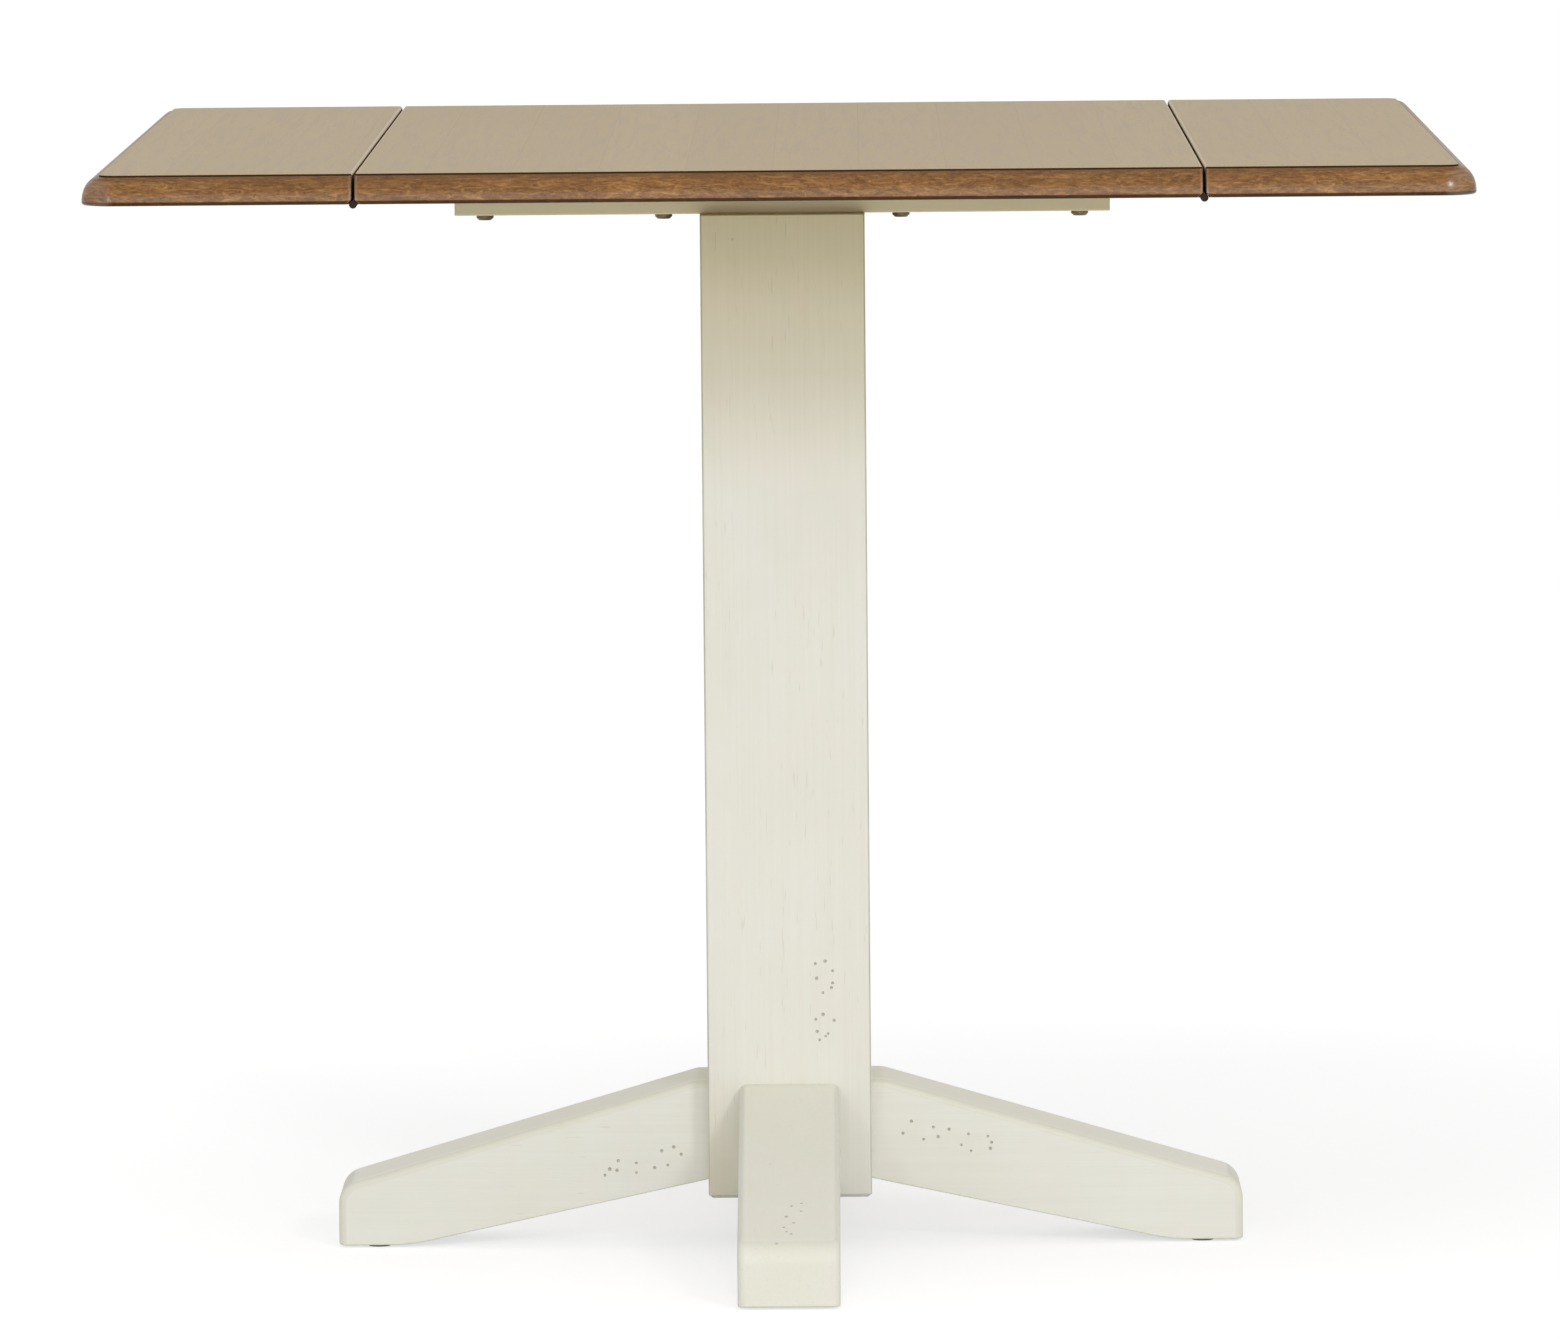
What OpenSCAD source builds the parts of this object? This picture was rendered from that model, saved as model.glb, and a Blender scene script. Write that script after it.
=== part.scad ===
// Drop leaf pedestal table: a fixed middle panel with a drop leaf on each side, on a square
// column with four feet. X runs along the table from leaf to leaf, Y from front to back, Z up.
// The origin is on the floor, under the middle of the column. Millimetres.

/* [Top] */
// Height of the upper face of the top above the floor
top_h = 914; // [720:1:1100]
// Thickness of the three top panels
top_t = 23.5; // [20:0.5:32]
// Width of the fixed middle panel, along the table
centre_w = 658; // [620:1:900]
// Width of each drop leaf, from its joint edge to its outer edge
leaf_w = 211; // [170:1:320]
// Depth of the top, from front edge to back edge
top_d = 1005; // [800:5:1300]
// Gap between the middle panel and each leaf
joint_gap = 2; // [1.6:0.1:4]
// How far the moulded edge reaches out from the flat field
nose_run = 14; // [8:0.5:16]
// Small step from the flat field down to the moulded edge
nose_step = 1.5; // [0.5:0.1:3]
// Radius under the moulded edge
nose_under_r = 2.5; // [1.5:0.5:4]
// Corner radius of the flat field at the outer corners of a leaf
corner_r = 12; // [3:1:20]
// Rounding of the upper arris along each joint
joint_round = 2; // [0.5:0.1:3]
// Chamfer of the lower arris along each joint, clear of the hinge barrel
joint_chamfer = 4; // [3.8:0.1:5]

/* [Continuous hinges] */
// Radius of the hinge barrel
barrel_r = 3.1; // [2.6:0.1:3.2]
// Radius of the hinge pin
pin_r = 1.5; // [1:0.1:1.8]
// Depth of the barrel's centre below the underside of the top
barrel_drop = 0.2; // [0.1:0.1:1.5]
// Thickness of a hinge plate
plate_t = 1.2; // [0.8:0.1:1.6]
// Reach of a hinge plate from the hinge axis
plate_reach = 18; // [14:1:26]
// Number of knuckles in a hinge, odd so that both end knuckles are on the fixed plate
knuckles = 27; // [15:2:41]
// Distance from the top's front and back edges to the hinge's ends
hinge_inset = 3; // [2.5:0.5:30]
// Screws in each hinge plate
hinge_screws = 9; // [5:1:13]
// Shank radius of a hinge screw
hinge_screw_r = 1.5; // [1:0.1:2]
// Length of a hinge screw
hinge_screw_l = 14; // [8:1:17]
// Radius of a hinge screw's head
hinge_screw_head_r = 3; // [2.4:0.1:4]
// Height of a hinge screw's head
hinge_screw_head_t = 1.2; // [0.8:0.1:2]

/* [Leaf braces] */
// Distance of each brace from the table's middle line
brace_y = 88; // [75:1:300]
// Fixed pivot, inboard of the hinge axis
pivot_in = 48; // [40:1:60]
// Fixed pivot, below the hinge axis
pivot_drop = 9.5; // [9:0.5:14]
// Leaf pivot, outboard of the hinge axis
pivot_out = 112; // [100:1:140]
// Leaf pivot, below the hinge axis
leaf_pivot_drop = 8.5; // [8.5:0.5:14]
// Width of a brace arm
arm_w = 12; // [10:0.5:13]
// Thickness of the arms and bracket lugs
arm_t = 3; // [2:0.5:4]
// Gap between neighbouring arms and lugs
arm_gap = 0.4; // [0.3:0.1:1]
// Radius of the pivot rivets
rivet_r = 2.5; // [2:0.1:3]
// Radius of a rivet's head
rivet_head_r = 4.5; // [4:0.1:5]
// Thickness of a rivet's head
rivet_head_t = 1.5; // [1:0.1:2.5]
// Length of a bracket's base, along the table
base_l = 36; // [30:1:44]
// Width of a bracket's base, beside its lug
base_w = 16; // [12:1:24]
// Thickness of a bracket's base
base_t = 2; // [1.5:0.1:3]
// Spacing of the two screws in a bracket's base
base_screw_pitch = 24; // [20:1:28]
// Shank radius of a bracket screw
base_screw_r = 1.8; // [1.5:0.1:2.2]
// Length of a bracket screw's shank
base_screw_l = 16; // [10:1:19]
// Radius of a bracket screw's head
base_screw_head_r = 3.6; // [2.8:0.1:4.5]
// Height of a bracket screw's head
base_screw_head_t = 1.8; // [1:0.1:3]

/* [Cleat] */
// Length of the cleat under the middle panel
cleat_l = 535; // [500:5:600]
// Width of the cleat, front to back
cleat_w = 100; // [90:1:140]
// Thickness of the cleat
cleat_t = 38; // [30:1:50]
// Inner pair of bolts, from the column's centre
bolt_x_in = 97; // [85:1:130]
// Outer pair of bolts, from the column's centre
bolt_x_out = 243; // [180:1:245]
// Bolt rows, from the cleat's centre line
bolt_y = 36; // [20:1:38]
// Shank radius of a top bolt
bolt_r = 3; // [2.5:0.1:4]
// Radius of a top bolt's head
bolt_head_r = 7.1; // [5.5:0.1:8]
// Thickness of a top bolt's head
bolt_head_t = 4.3; // [3:0.1:6]
// Height of the upright rim of a top bolt's head
bolt_rim_t = 2.4; // [0.5:0.1:2.8]
// Depth of the hex socket in a bolt or screw head
socket_t = 2.6; // [1:0.1:2.8]
// Radius of the hex socket across its corners
socket_r = 2.9; // [2:0.1:3.2]
// How far a top bolt reaches into the top
bolt_grip = 12; // [8:1:14]
// Outer radius of a threaded insert
insert_r = 4.8; // [4.2:0.1:6]
// Length of a threaded insert
insert_l = 13; // [9:1:15]

/* [Column] */
// Side of the square column
column_w = 134.5; // [120:0.5:160]
// Thickness of the column's four mitred boards
column_wall = 20; // [16:1:26]
// Height of the column's lower end above the floor
column_clear = 43; // [30:1:48]
// Rounding of the column's upright arrises
column_round = 2.5; // [1:0.5:4]
// Chamfer round the column's lower end
column_chamfer = 3; // [1:0.5:5]
// Height of the block inside the column's upper end
block_h = 70; // [60:1:120]
// Square pattern of the screws that join cleat to column
column_screw_pitch = 50; // [40:1:56]
// Shank radius of a column screw
column_screw_r = 4; // [3:0.5:5]
// How far a column screw reaches into the block
column_screw_grip = 50; // [40:1:55]
// Head radius of a column screw
column_screw_head_r = 7; // [6:0.5:9]
// Head height of a column screw
column_screw_head_t = 5; // [4:0.5:7]
// Depth of a column screw's head below the top of the cleat
column_screw_sink = 1; // [0.5:0.5:3]

/* [Feet] */
// Reach of a foot from the column's centre line
foot_reach = 373; // [330:1:450]
// Width of a foot
foot_w = 82; // [70:1:100]
// Height of a foot's upper face at the column
foot_top = 137.5; // [125:0.5:170]
// Height of a foot's lower face at the column
foot_bottom = 55; // [50:0.5:62]
// Level part of the upper face beside the column
foot_level = 9.5; // [4:0.5:20]
// Fall of the upper face, in degrees
foot_fall = 16.3; // [12:0.1:17]
// Length of the flat pad under the outer end
foot_pad = 59; // [50:1:80]
// Radius of the bend between pad and underside
foot_bend_r = 150; // [60:5:180]
// Radius of the upper outer corner
foot_nose_r = 20; // [14:1:24]
// Routed rounding along the upper and end arrises
foot_round = 6.35; // [3:0.05:9]
// Lower hanger bolt of a foot, above the floor
foot_bolt_low = 77; // [74:1:85]
// Spacing of a foot's two hanger bolts
foot_bolt_pitch = 40; // [30:1:42]
// Radius of the hanger bolts
foot_bolt_r = 4; // [3:0.5:5]
// How far a hanger bolt reaches into the foot
foot_bolt_in = 60; // [40:1:80]
// Thickness of the washers on the hanger bolts
washer_t = 1.6; // [1:0.1:2.5]
// Radius of the washers
washer_r = 11; // [9:0.5:12]
// Width across the flats of the hex nuts
nut_af = 13; // [12:0.5:16]
// Thickness of the hex nuts
nut_t = 6.5; // [5:0.5:8]
// How far a hanger bolt stands out of its nut
foot_bolt_end = 3; // [1:0.5:5]
// Radius of the dowels between foot and column
dowel_r = 4; // [3:0.5:5]
// How far a dowel enters each piece
dowel_in = 15; // [10:1:15]
// Spacing of a foot's two dowels
dowel_pitch = 50; // [40:1:60]
// Radius of a glide
glide_r = 9; // [6:0.5:12]
// Thickness of a glide
glide_t = 2; // [1:0.5:5]
// Glides, from the table's centre to the middle of the pad
glide_x = 340; // [325:1:345]
// Spacing of a foot's two glides
glide_pitch = 54; // [40:1:60]
// Radius of a glide's nail
nail_r = 1.2; // [1:0.1:2]
// Length of a glide's nail
nail_l = 14; // [10:1:20]

/* [Hidden] */
run_fit = 0.05;          // radial clearance of a pivot in its bore
seat_fit = 0.02;         // radial clearance of a fixed shank, dowel or insert
pass_fit = 0.5;          // radial clearance where a shank only passes through
washer_fit = 0.2;        // radial clearance of a washer on its bolt
turn_gap = 0.4;          // clearance beside a knuckle
head_gap = 0.3;          // gap between a rivet's head and the arm that turns under it
cut = 1;                 // how far a cutter runs past a face
lap = 0.5;               // overlap where two shapes join in one solid
insert_end = 1;          // clear depth past the end of a threaded insert
dome = 0.72;             // share of a rounded head's radius that its flat face keeps

under_z = top_h - top_t;                       // underside of the top
cleat_z = under_z - cleat_t;                   // underside of the cleat, top of the column
column_h = cleat_z - column_clear;
column_screw_seat_z = under_z - column_screw_sink - column_screw_head_t;
core_w = column_w - 2 * column_wall;           // clear width inside the column
axis_x = centre_w / 2 + joint_gap / 2;         // hinge axis, in the middle of the joint
axis_z = under_z - barrel_drop;
hinge_l = top_d - 2 * hinge_inset;
knuckle_pitch = hinge_l / knuckles;
plate_start = barrel_r + turn_gap;             // edge of a plate beside the other's knuckles
foot_bolt_z = [foot_bolt_low, foot_bolt_low + foot_bolt_pitch];
foot_mid_z = foot_bolt_low + foot_bolt_pitch / 2;
foot_floor = glide_t;                          // underside of a foot's pad
arm_in_l = norm([pivot_out, leaf_pivot_drop]);
arm_out_l = norm([pivot_in, pivot_drop]);
arm_in_tilt = -atan2(leaf_pivot_drop, pivot_out);
arm_out_tilt = atan2(pivot_drop, pivot_in);
knee = [pivot_out - pivot_in, -pivot_drop - leaf_pivot_drop];
lug_y = -arm_gap - arm_t;                      // layer of the fixed lugs and outer arms

wood_top = [0.66, 0.59, 0.45];
cream = [0.89, 0.88, 0.83];
bronze = [0.25, 0.20, 0.16];
steel = [0.70, 0.70, 0.68];
zinc = [0.78, 0.76, 0.70];
beech = [0.80, 0.66, 0.47];
felt = [0.55, 0.55, 0.53];

$fn = 48;

// ---- Shared shapes ----

// Moulded edge in section: x outward from the flat field, y up from the underside. It drops
// by the step, then turns through a quarter of an ellipse to the radius underneath.
function nose_profile(root = 2, steps = 10) = concat(
    [[-root, 0], [-root, top_t], [0, top_t]],
    [for (i = [0:steps]) let (a = 90 * i / steps)
        [nose_run * sin(a), nose_under_r + (top_t - nose_step - nose_under_r) * cos(a)]],
    [for (i = [1:4]) let (a = 90 * i / 4)
        [nose_run - nose_under_r * (1 - cos(a)), nose_under_r * (1 - sin(a))]]);

// Straight length of moulded edge along +X, facing -Y, with the flat field's edge at y = 0.
module nose_along_x(l) {
    rotate([90, 0, 90]) linear_extrude(l) mirror([1, 0]) polygon(nose_profile());
}

// Quarter turn of moulded edge round a corner of the flat field, from +X to +Y.
module nose_corner() {
    rotate_extrude(angle = 90) intersection() {
        translate([corner_r, 0]) polygon(nose_profile(root = corner_r));
        square([corner_r + nose_run, top_t]);
    }
}

// Rounded arris cutter along +Y, for the upper edge of a panel whose edge face looks to +X.
module upper_arris_cut(l) {
    translate([0, l / 2, 0]) rotate([90, 0, 0]) linear_extrude(l) difference() {
        translate([-joint_round, -joint_round]) square(joint_round + cut);
        translate([-joint_round, -joint_round]) circle(joint_round);
    }
}

// Chamfer cutter along Y for the lower edge of a panel whose edge face looks to +X.
module lower_arris_cut(l) {
    rotate([0, 45, 0]) cube([joint_chamfer * sqrt(2), l, joint_chamfer * sqrt(2)], center = true);
}

// Both arris cuts of one joint edge, with the edge face at x = 0.
module joint_edge_cuts() {
    translate([0, 0, top_t]) upper_arris_cut(top_d + 2 * cut);
    lower_arris_cut(top_d + 2 * cut);
}

// Seat for a hinge plate in the underside, for a panel that lies on the +X side of the axis.
module plate_seat() {
    translate([0, -hinge_l / 2 - turn_gap, -cut])
        cube([plate_reach + turn_gap, hinge_l + 2 * turn_gap, plate_t + cut]);
}

// Centres of the screws in one hinge plate, from the hinge axis.
function hinge_screw_at(i) = [
    (plate_start + plate_reach) / 2,
    (i - (hinge_screws - 1) / 2) * hinge_l / hinge_screws, 0];

module at_hinge_screws() {
    for (i = [0:hinge_screws - 1]) translate(hinge_screw_at(i)) children();
}

// Rounded screw head that hangs down from z = 0.
module screw_head(r, h) {
    mirror([0, 0, 1]) cylinder(h = h, r1 = r, r2 = dome * r);
}

// Hex socket sunk upward from z = 0.
module hex_socket() {
    translate([0, 0, -cut]) cylinder(h = socket_t + cut, r = socket_r, $fn = 6);
}

// Where the two braces of a side stand, along Y.
brace_places = [-brace_y, brace_y];

// Screw centres of a bracket base, beside its lug on the given side of y = 0.
module at_base_screws(side) {
    for (x = [-1, 1]) translate([x * base_screw_pitch / 2, side * base_w / 2, 0]) children();
}

// Right side as modelled, left side as its mirror image.
module on_side(side) {
    if (side == "left") mirror([1, 0, 0]) children();
    else children();
}

// Moves to a point beside the right hinge axis: x outward, z up.
module at_axis(p = [0, 0]) {
    translate([axis_x + p[0], 0, axis_z + p[1]]) children();
}

// ---- Top panels ----

// Screw holes on the +X side of a joint, drilled up from the underside at z = 0.
module leaf_side_holes(x_bracket) {
    at_hinge_screws() cylinder(h = hinge_screw_l + cut, r = hinge_screw_r + seat_fit);
    for (y = brace_places) translate([x_bracket, y, 0]) at_base_screws(1)
        translate([0, 0, -cut]) cylinder(h = base_screw_l - base_t + 2 * cut, r = base_screw_r + seat_fit);
}

module fixed_side_holes() {
    at_hinge_screws() cylinder(h = hinge_screw_l + cut, r = hinge_screw_r + seat_fit);
    for (y = brace_places) translate([pivot_in, y - arm_gap, 0]) at_base_screws(-1)
        translate([0, 0, -cut]) cylinder(h = base_screw_l - base_t + 2 * cut, r = base_screw_r + seat_fit);
}

// One half of the joint at the middle panel's right edge, seen from the axis towards -X.
module centre_joint_cuts() {
    translate([centre_w / 2, 0, 0]) joint_edge_cuts();
    translate([axis_x, 0, 0]) mirror([1, 0, 0]) {
        plate_seat();
        fixed_side_holes();
    }
}

module centre_top() {
    field_d = top_d - 2 * nose_run;
    color(wood_top) translate([0, 0, under_z]) difference() {
        union() {
            translate([-centre_w / 2, -field_d / 2, 0]) cube([centre_w, field_d, top_t]);
            for (turn = [0, 180]) rotate(turn) translate([-centre_w / 2, -field_d / 2, 0])
                nose_along_x(centre_w);
        }
        centre_joint_cuts();
        mirror([1, 0, 0]) centre_joint_cuts();
        at_top_bolts() translate([0, 0, -cut])
            cylinder(h = insert_l + cut + insert_end, r = insert_r + seat_fit);
    }
}

// Leaf on the right: its joint edge is half a gap out from the hinge axis.
module leaf_panel() {
    edge_x = joint_gap / 2;
    field_x = leaf_w - nose_run;
    field_d = top_d - 2 * nose_run;
    color(wood_top) translate([axis_x, 0, under_z]) difference() {
        translate([edge_x, 0, 0]) union() {
            translate([0, -field_d / 2, 0]) cube([field_x - corner_r, field_d, top_t]);
            translate([0, corner_r - field_d / 2, 0]) cube([field_x, field_d - 2 * corner_r, top_t]);
            translate([0, -field_d / 2, 0]) nose_along_x(field_x - corner_r);
            translate([0, field_d / 2, 0]) mirror([0, 1, 0]) nose_along_x(field_x - corner_r);
            translate([field_x, corner_r - field_d / 2, 0]) rotate(90)
                nose_along_x(field_d - 2 * corner_r);
            for (side = [-1, 1]) translate([field_x - corner_r, side * (field_d / 2 - corner_r), 0])
                mirror([0, (1 - side) / 2, 0]) nose_corner();
        }
        translate([edge_x, 0, 0]) mirror([1, 0, 0]) joint_edge_cuts();
        plate_seat();
        leaf_side_holes(pivot_out);
    }
}

// ---- Continuous hinges ----

// Hinge plate with its knuckles, on the +X side of the axis. first is 0 or 1.
module hinge_plate(first) {
    color(bronze) difference() {
        union() {
            translate([plate_start, -hinge_l / 2, barrel_drop])
                cube([plate_reach - plate_start, hinge_l, plate_t]);
            for (i = [first:2:knuckles - 1])
                translate([0, -hinge_l / 2 + i * knuckle_pitch + turn_gap / 2, 0]) {
                rotate([-90, 0, 0]) cylinder(h = knuckle_pitch - turn_gap, r = barrel_r);
                translate([0, 0, barrel_drop]) cube([plate_start + lap, knuckle_pitch - turn_gap, plate_t]);
            }
        }
        rotate([90, 0, 0]) cylinder(h = hinge_l + 2 * cut, r = pin_r + run_fit, center = true);
        at_hinge_screws() translate([0, 0, barrel_drop - cut])
            cylinder(h = plate_t + 2 * cut, r = hinge_screw_r + 2 * run_fit);
    }
}

module hinge_pin() {
    color(steel) rotate([90, 0, 0]) cylinder(h = hinge_l, r = pin_r, center = true);
}

// Low round-head screws on the +X side of the axis.
module hinge_plate_screws() {
    color(bronze) at_hinge_screws() translate([0, 0, barrel_drop]) {
        cylinder(h = hinge_screw_l, r = hinge_screw_r);
        screw_head(hinge_screw_head_r, hinge_screw_head_t);
    }
}

// ---- Leaf braces: each is a parallelogram of two arms, two lugs and the panels ----

// Flat bar in the XZ plane from the origin along +X, thickness from y = 0 to arm_t.
module brace_bar(l) {
    translate([0, arm_t, 0]) rotate([90, 0, 0]) difference() {
        union() {
            cylinder(h = arm_t, r = arm_w / 2);
            translate([l, 0, 0]) cylinder(h = arm_t, r = arm_w / 2);
            translate([0, -arm_w / 2, 0]) cube([l, arm_w, arm_t]);
        }
        for (x = [0, l]) translate([x, 0, -cut])
            cylinder(h = arm_t + 2 * cut, r = rivet_r + run_fit);
    }
}

// Angle bracket with its pivot at the origin, its lug from y = 0 to arm_t and its base on the
// side of +Y, drop above the pivot.
module bracket(drop) {
    color(zinc) difference() {
        union() {
            translate([0, arm_t, 0]) rotate([90, 0, 0]) cylinder(h = arm_t, r = arm_w / 2);
            translate([-arm_w / 2, 0, 0]) cube([arm_w, arm_t, drop]);
            translate([-base_l / 2, 0, drop - base_t]) cube([base_l, base_w, base_t]);
        }
        translate([0, -cut, 0]) rotate([-90, 0, 0])
            cylinder(h = arm_t + base_w + 2 * cut, r = rivet_r + run_fit);
        at_base_screws(1) translate([0, 0, drop - base_t - cut])
            cylinder(h = base_t + 2 * cut, r = base_screw_r + 2 * run_fit);
    }
}

// Rivet across y: low_y and high_y are the inner faces of its two heads.
module rivet(low_y, high_y) {
    color(zinc) rotate([-90, 0, 0]) {
        translate([0, 0, low_y]) cylinder(h = high_y - low_y, r = rivet_r);
        translate([0, 0, low_y - rivet_head_t]) cylinder(h = rivet_head_t, r = rivet_head_r);
        translate([0, 0, high_y]) cylinder(h = rivet_head_t, r = rivet_head_r);
    }
}

module fixed_bracket(y) {
    at_axis([-pivot_in, -pivot_drop]) translate([0, y - arm_gap, 0]) mirror([0, 1, 0])
        bracket(pivot_drop + barrel_drop);
}

module leaf_bracket(y) {
    at_axis([pivot_out, -leaf_pivot_drop]) translate([0, y, 0])
        bracket(leaf_pivot_drop + barrel_drop);
}

module inner_arm(y) {
    color(zinc) at_axis([-pivot_in, -pivot_drop]) translate([0, y, 0])
        rotate([0, -arm_in_tilt, 0]) brace_bar(arm_in_l);
}

module outer_arm(y) {
    color(zinc) at_axis(knee) translate([0, y + lug_y, 0])
        rotate([0, -arm_out_tilt, 0]) brace_bar(arm_out_l);
}

module knee_rivet(y) {
    at_axis(knee) translate([0, y, 0]) rivet(lug_y - head_gap, arm_t);
}

module fixed_pivot_rivet(y) {
    at_axis([-pivot_in, -pivot_drop]) translate([0, y, 0]) rivet(lug_y, arm_t + head_gap);
}

module leaf_pivot_rivet(y) {
    at_axis([pivot_out, -leaf_pivot_drop]) translate([0, y, 0]) rivet(lug_y - head_gap, arm_t);
}

// Pan-head screws of a bracket base whose upper face is at z = 0.
module base_screws(side) {
    color(steel) at_base_screws(side) translate([0, 0, -base_t]) {
        cylinder(h = base_screw_l, r = base_screw_r);
        screw_head(base_screw_head_r, base_screw_head_t);
    }
}

module fixed_bracket_screw_set(y) {
    translate([axis_x - pivot_in, y - arm_gap, under_z]) base_screws(-1);
}

module leaf_bracket_screw_set(y) {
    translate([axis_x + pivot_out, y, under_z]) base_screws(1);
}

// ---- Cleat ----

module at_top_bolts() {
    for (x = [-bolt_x_out, -bolt_x_in, bolt_x_in, bolt_x_out], y = [-bolt_y, bolt_y])
        translate([x, y, 0]) children();
}

module at_column_screws() {
    for (x = [-1, 1], y = [-1, 1])
        translate([x, y, 0] * column_screw_pitch / 2) children();
}

module top_cleat() {
    color(cream) difference() {
        translate([-cleat_l / 2, -cleat_w / 2, cleat_z]) cube([cleat_l, cleat_w, cleat_t]);
        at_top_bolts() translate([0, 0, cleat_z - cut])
            cylinder(h = cleat_t + 2 * cut, r = bolt_r + pass_fit);
        at_column_screws() {
            translate([0, 0, cleat_z - cut])
                cylinder(h = cleat_t + 2 * cut, r = column_screw_r + pass_fit);
            translate([0, 0, column_screw_seat_z])
                cylinder(h = under_z - column_screw_seat_z + cut, r = column_screw_head_r + pass_fit);
        }
    }
}

module top_bolts() {
    color(bronze) at_top_bolts() difference() {
        translate([0, 0, cleat_z]) union() {
            cylinder(h = cleat_t + bolt_grip, r = bolt_r);
            translate([0, 0, -bolt_rim_t]) cylinder(h = bolt_rim_t, r = bolt_head_r);
            translate([0, 0, -bolt_rim_t]) screw_head(bolt_head_r, bolt_head_t - bolt_rim_t);
        }
        translate([0, 0, cleat_z - bolt_head_t]) hex_socket();
    }
}

module top_inserts() {
    color(zinc) at_top_bolts() translate([0, 0, under_z]) difference() {
        cylinder(h = insert_l, r = insert_r);
        translate([0, 0, -cut]) cylinder(h = insert_l + 2 * cut, r = bolt_r + seat_fit);
    }
}

module column_screws() {
    color(steel) at_column_screws() difference() {
        union() {
            translate([0, 0, cleat_z - column_screw_grip])
                cylinder(h = column_screw_seat_z - cleat_z + column_screw_grip, r = column_screw_r);
            translate([0, 0, column_screw_seat_z])
                cylinder(h = column_screw_head_t, r = column_screw_head_r);
        }
        translate([0, 0, under_z - column_screw_sink]) mirror([0, 0, 1]) hex_socket();
    }
}

// ---- Column ----

module rounded_square(w, r) {
    union() {
        square([w, w - 2 * r], center = true);
        square([w - 2 * r, w], center = true);
        for (x = [-1, 1], y = [-1, 1]) translate([x, y] * (w / 2 - r)) circle(r);
    }
}

// Places what a foot fixes with, on the column's +X face: bolts and dowels along X.
module at_foot_bolts() {
    for (z = foot_bolt_z) translate([column_w / 2, 0, z]) rotate([0, 90, 0]) children();
}

module at_foot_dowels() {
    for (y = [-1, 1]) translate([column_w / 2, y * dowel_pitch / 2, foot_mid_z])
        rotate([0, 90, 0]) children();
}

// Board on the column's +X side, with mitred edges.
module column_board() {
    half = column_w / 2;
    color(cream) difference() {
        translate([0, 0, column_clear]) linear_extrude(column_h) intersection() {
            polygon([[half, -half], [half, half], [half - column_wall, half - column_wall],
                     [half - column_wall, column_wall - half]]);
            rounded_square(column_w, column_round);
        }
        translate([half, 0, column_clear]) rotate([0, 45, 0])
            cube([column_chamfer * sqrt(2), column_w + 2 * cut, column_chamfer * sqrt(2)], center = true);
        at_foot_bolts() translate([0, 0, -column_wall - cut])
            cylinder(h = column_wall + 2 * cut, r = foot_bolt_r + pass_fit);
        at_foot_dowels() translate([0, 0, -dowel_in]) cylinder(h = dowel_in + cut, r = dowel_r + seat_fit);
    }
}

module column_top_block() {
    color(beech) difference() {
        translate([-core_w / 2, -core_w / 2, cleat_z - block_h]) cube([core_w, core_w, block_h]);
        at_column_screws() translate([0, 0, cleat_z - column_screw_grip])
            cylinder(h = column_screw_grip + cut, r = column_screw_r + seat_fit);
    }
}

// ---- Feet ----

// Arc of n + 1 points that rounds the corner v between points p and q with radius r.
function corner_arc(p, v, q, r, n) =
    let (a = (p - v) / norm(p - v), b = (q - v) / norm(q - v))
    let (half = acos(a * b) / 2, m = (a + b) / norm(a + b))
    let (c = v + m * r / sin(half), t1 = v + a * r / tan(half), t2 = v + b * r / tan(half))
    let (a1 = atan2(t1[1] - c[1], t1[0] - c[0]), a2 = atan2(t2[1] - c[1], t2[0] - c[0]))
    let (turn = a2 - a1, sweep = turn > 180 ? turn - 360 : turn < -180 ? turn + 360 : turn)
    [for (i = [0:n]) c + r * [cos(a1 + sweep * i / n), sin(a1 + sweep * i / n)]];

fall_start = column_w / 2 + foot_level;
function fall_z(x) = foot_top - (x - fall_start) * tan(foot_fall);
nose_c = [foot_reach - foot_nose_r,
          fall_z(foot_reach - foot_nose_r) - foot_nose_r / cos(foot_fall)];

// Outline of a foot from the side: x outward from the column's centre line, y up.
module foot_outline() {
    root = column_w / 2;
    nose_top = nose_c + foot_nose_r * [sin(foot_fall), cos(foot_fall)];
    heel = [foot_reach, foot_floor];
    bend = [foot_reach - foot_pad, foot_floor];
    polygon(concat([heel, [foot_reach, nose_c[1]], nose_c, nose_top,
                    [fall_start, foot_top], [root, foot_top], [root, foot_bottom]],
                   corner_arc([root, foot_bottom], bend, heel, foot_bend_r, 6)));
    translate(nose_c) circle(foot_nose_r, $fn = 96);
}

// Corner left over outside a rounding of radius foot_round, with the corner at the origin.
module round_waste() {
    translate([-foot_round, -foot_round]) difference() {
        square(foot_round + cut);
        circle(foot_round);
    }
}

// Routed rounding on the +Y side of a foot: one pass down the slope, one down the outer end.
module foot_rounding() {
    slope_l = (foot_reach - column_w / 2) / cos(foot_fall) + 2 * foot_round;
    translate([fall_start, foot_w / 2, foot_top]) rotate([0, foot_fall, 0])
        translate([-2 * foot_level, 0, 0]) rotate([90, 0, 90]) linear_extrude(slope_l) round_waste();
    translate([foot_reach, foot_w / 2, 0]) linear_extrude(foot_top) round_waste();
}

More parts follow.
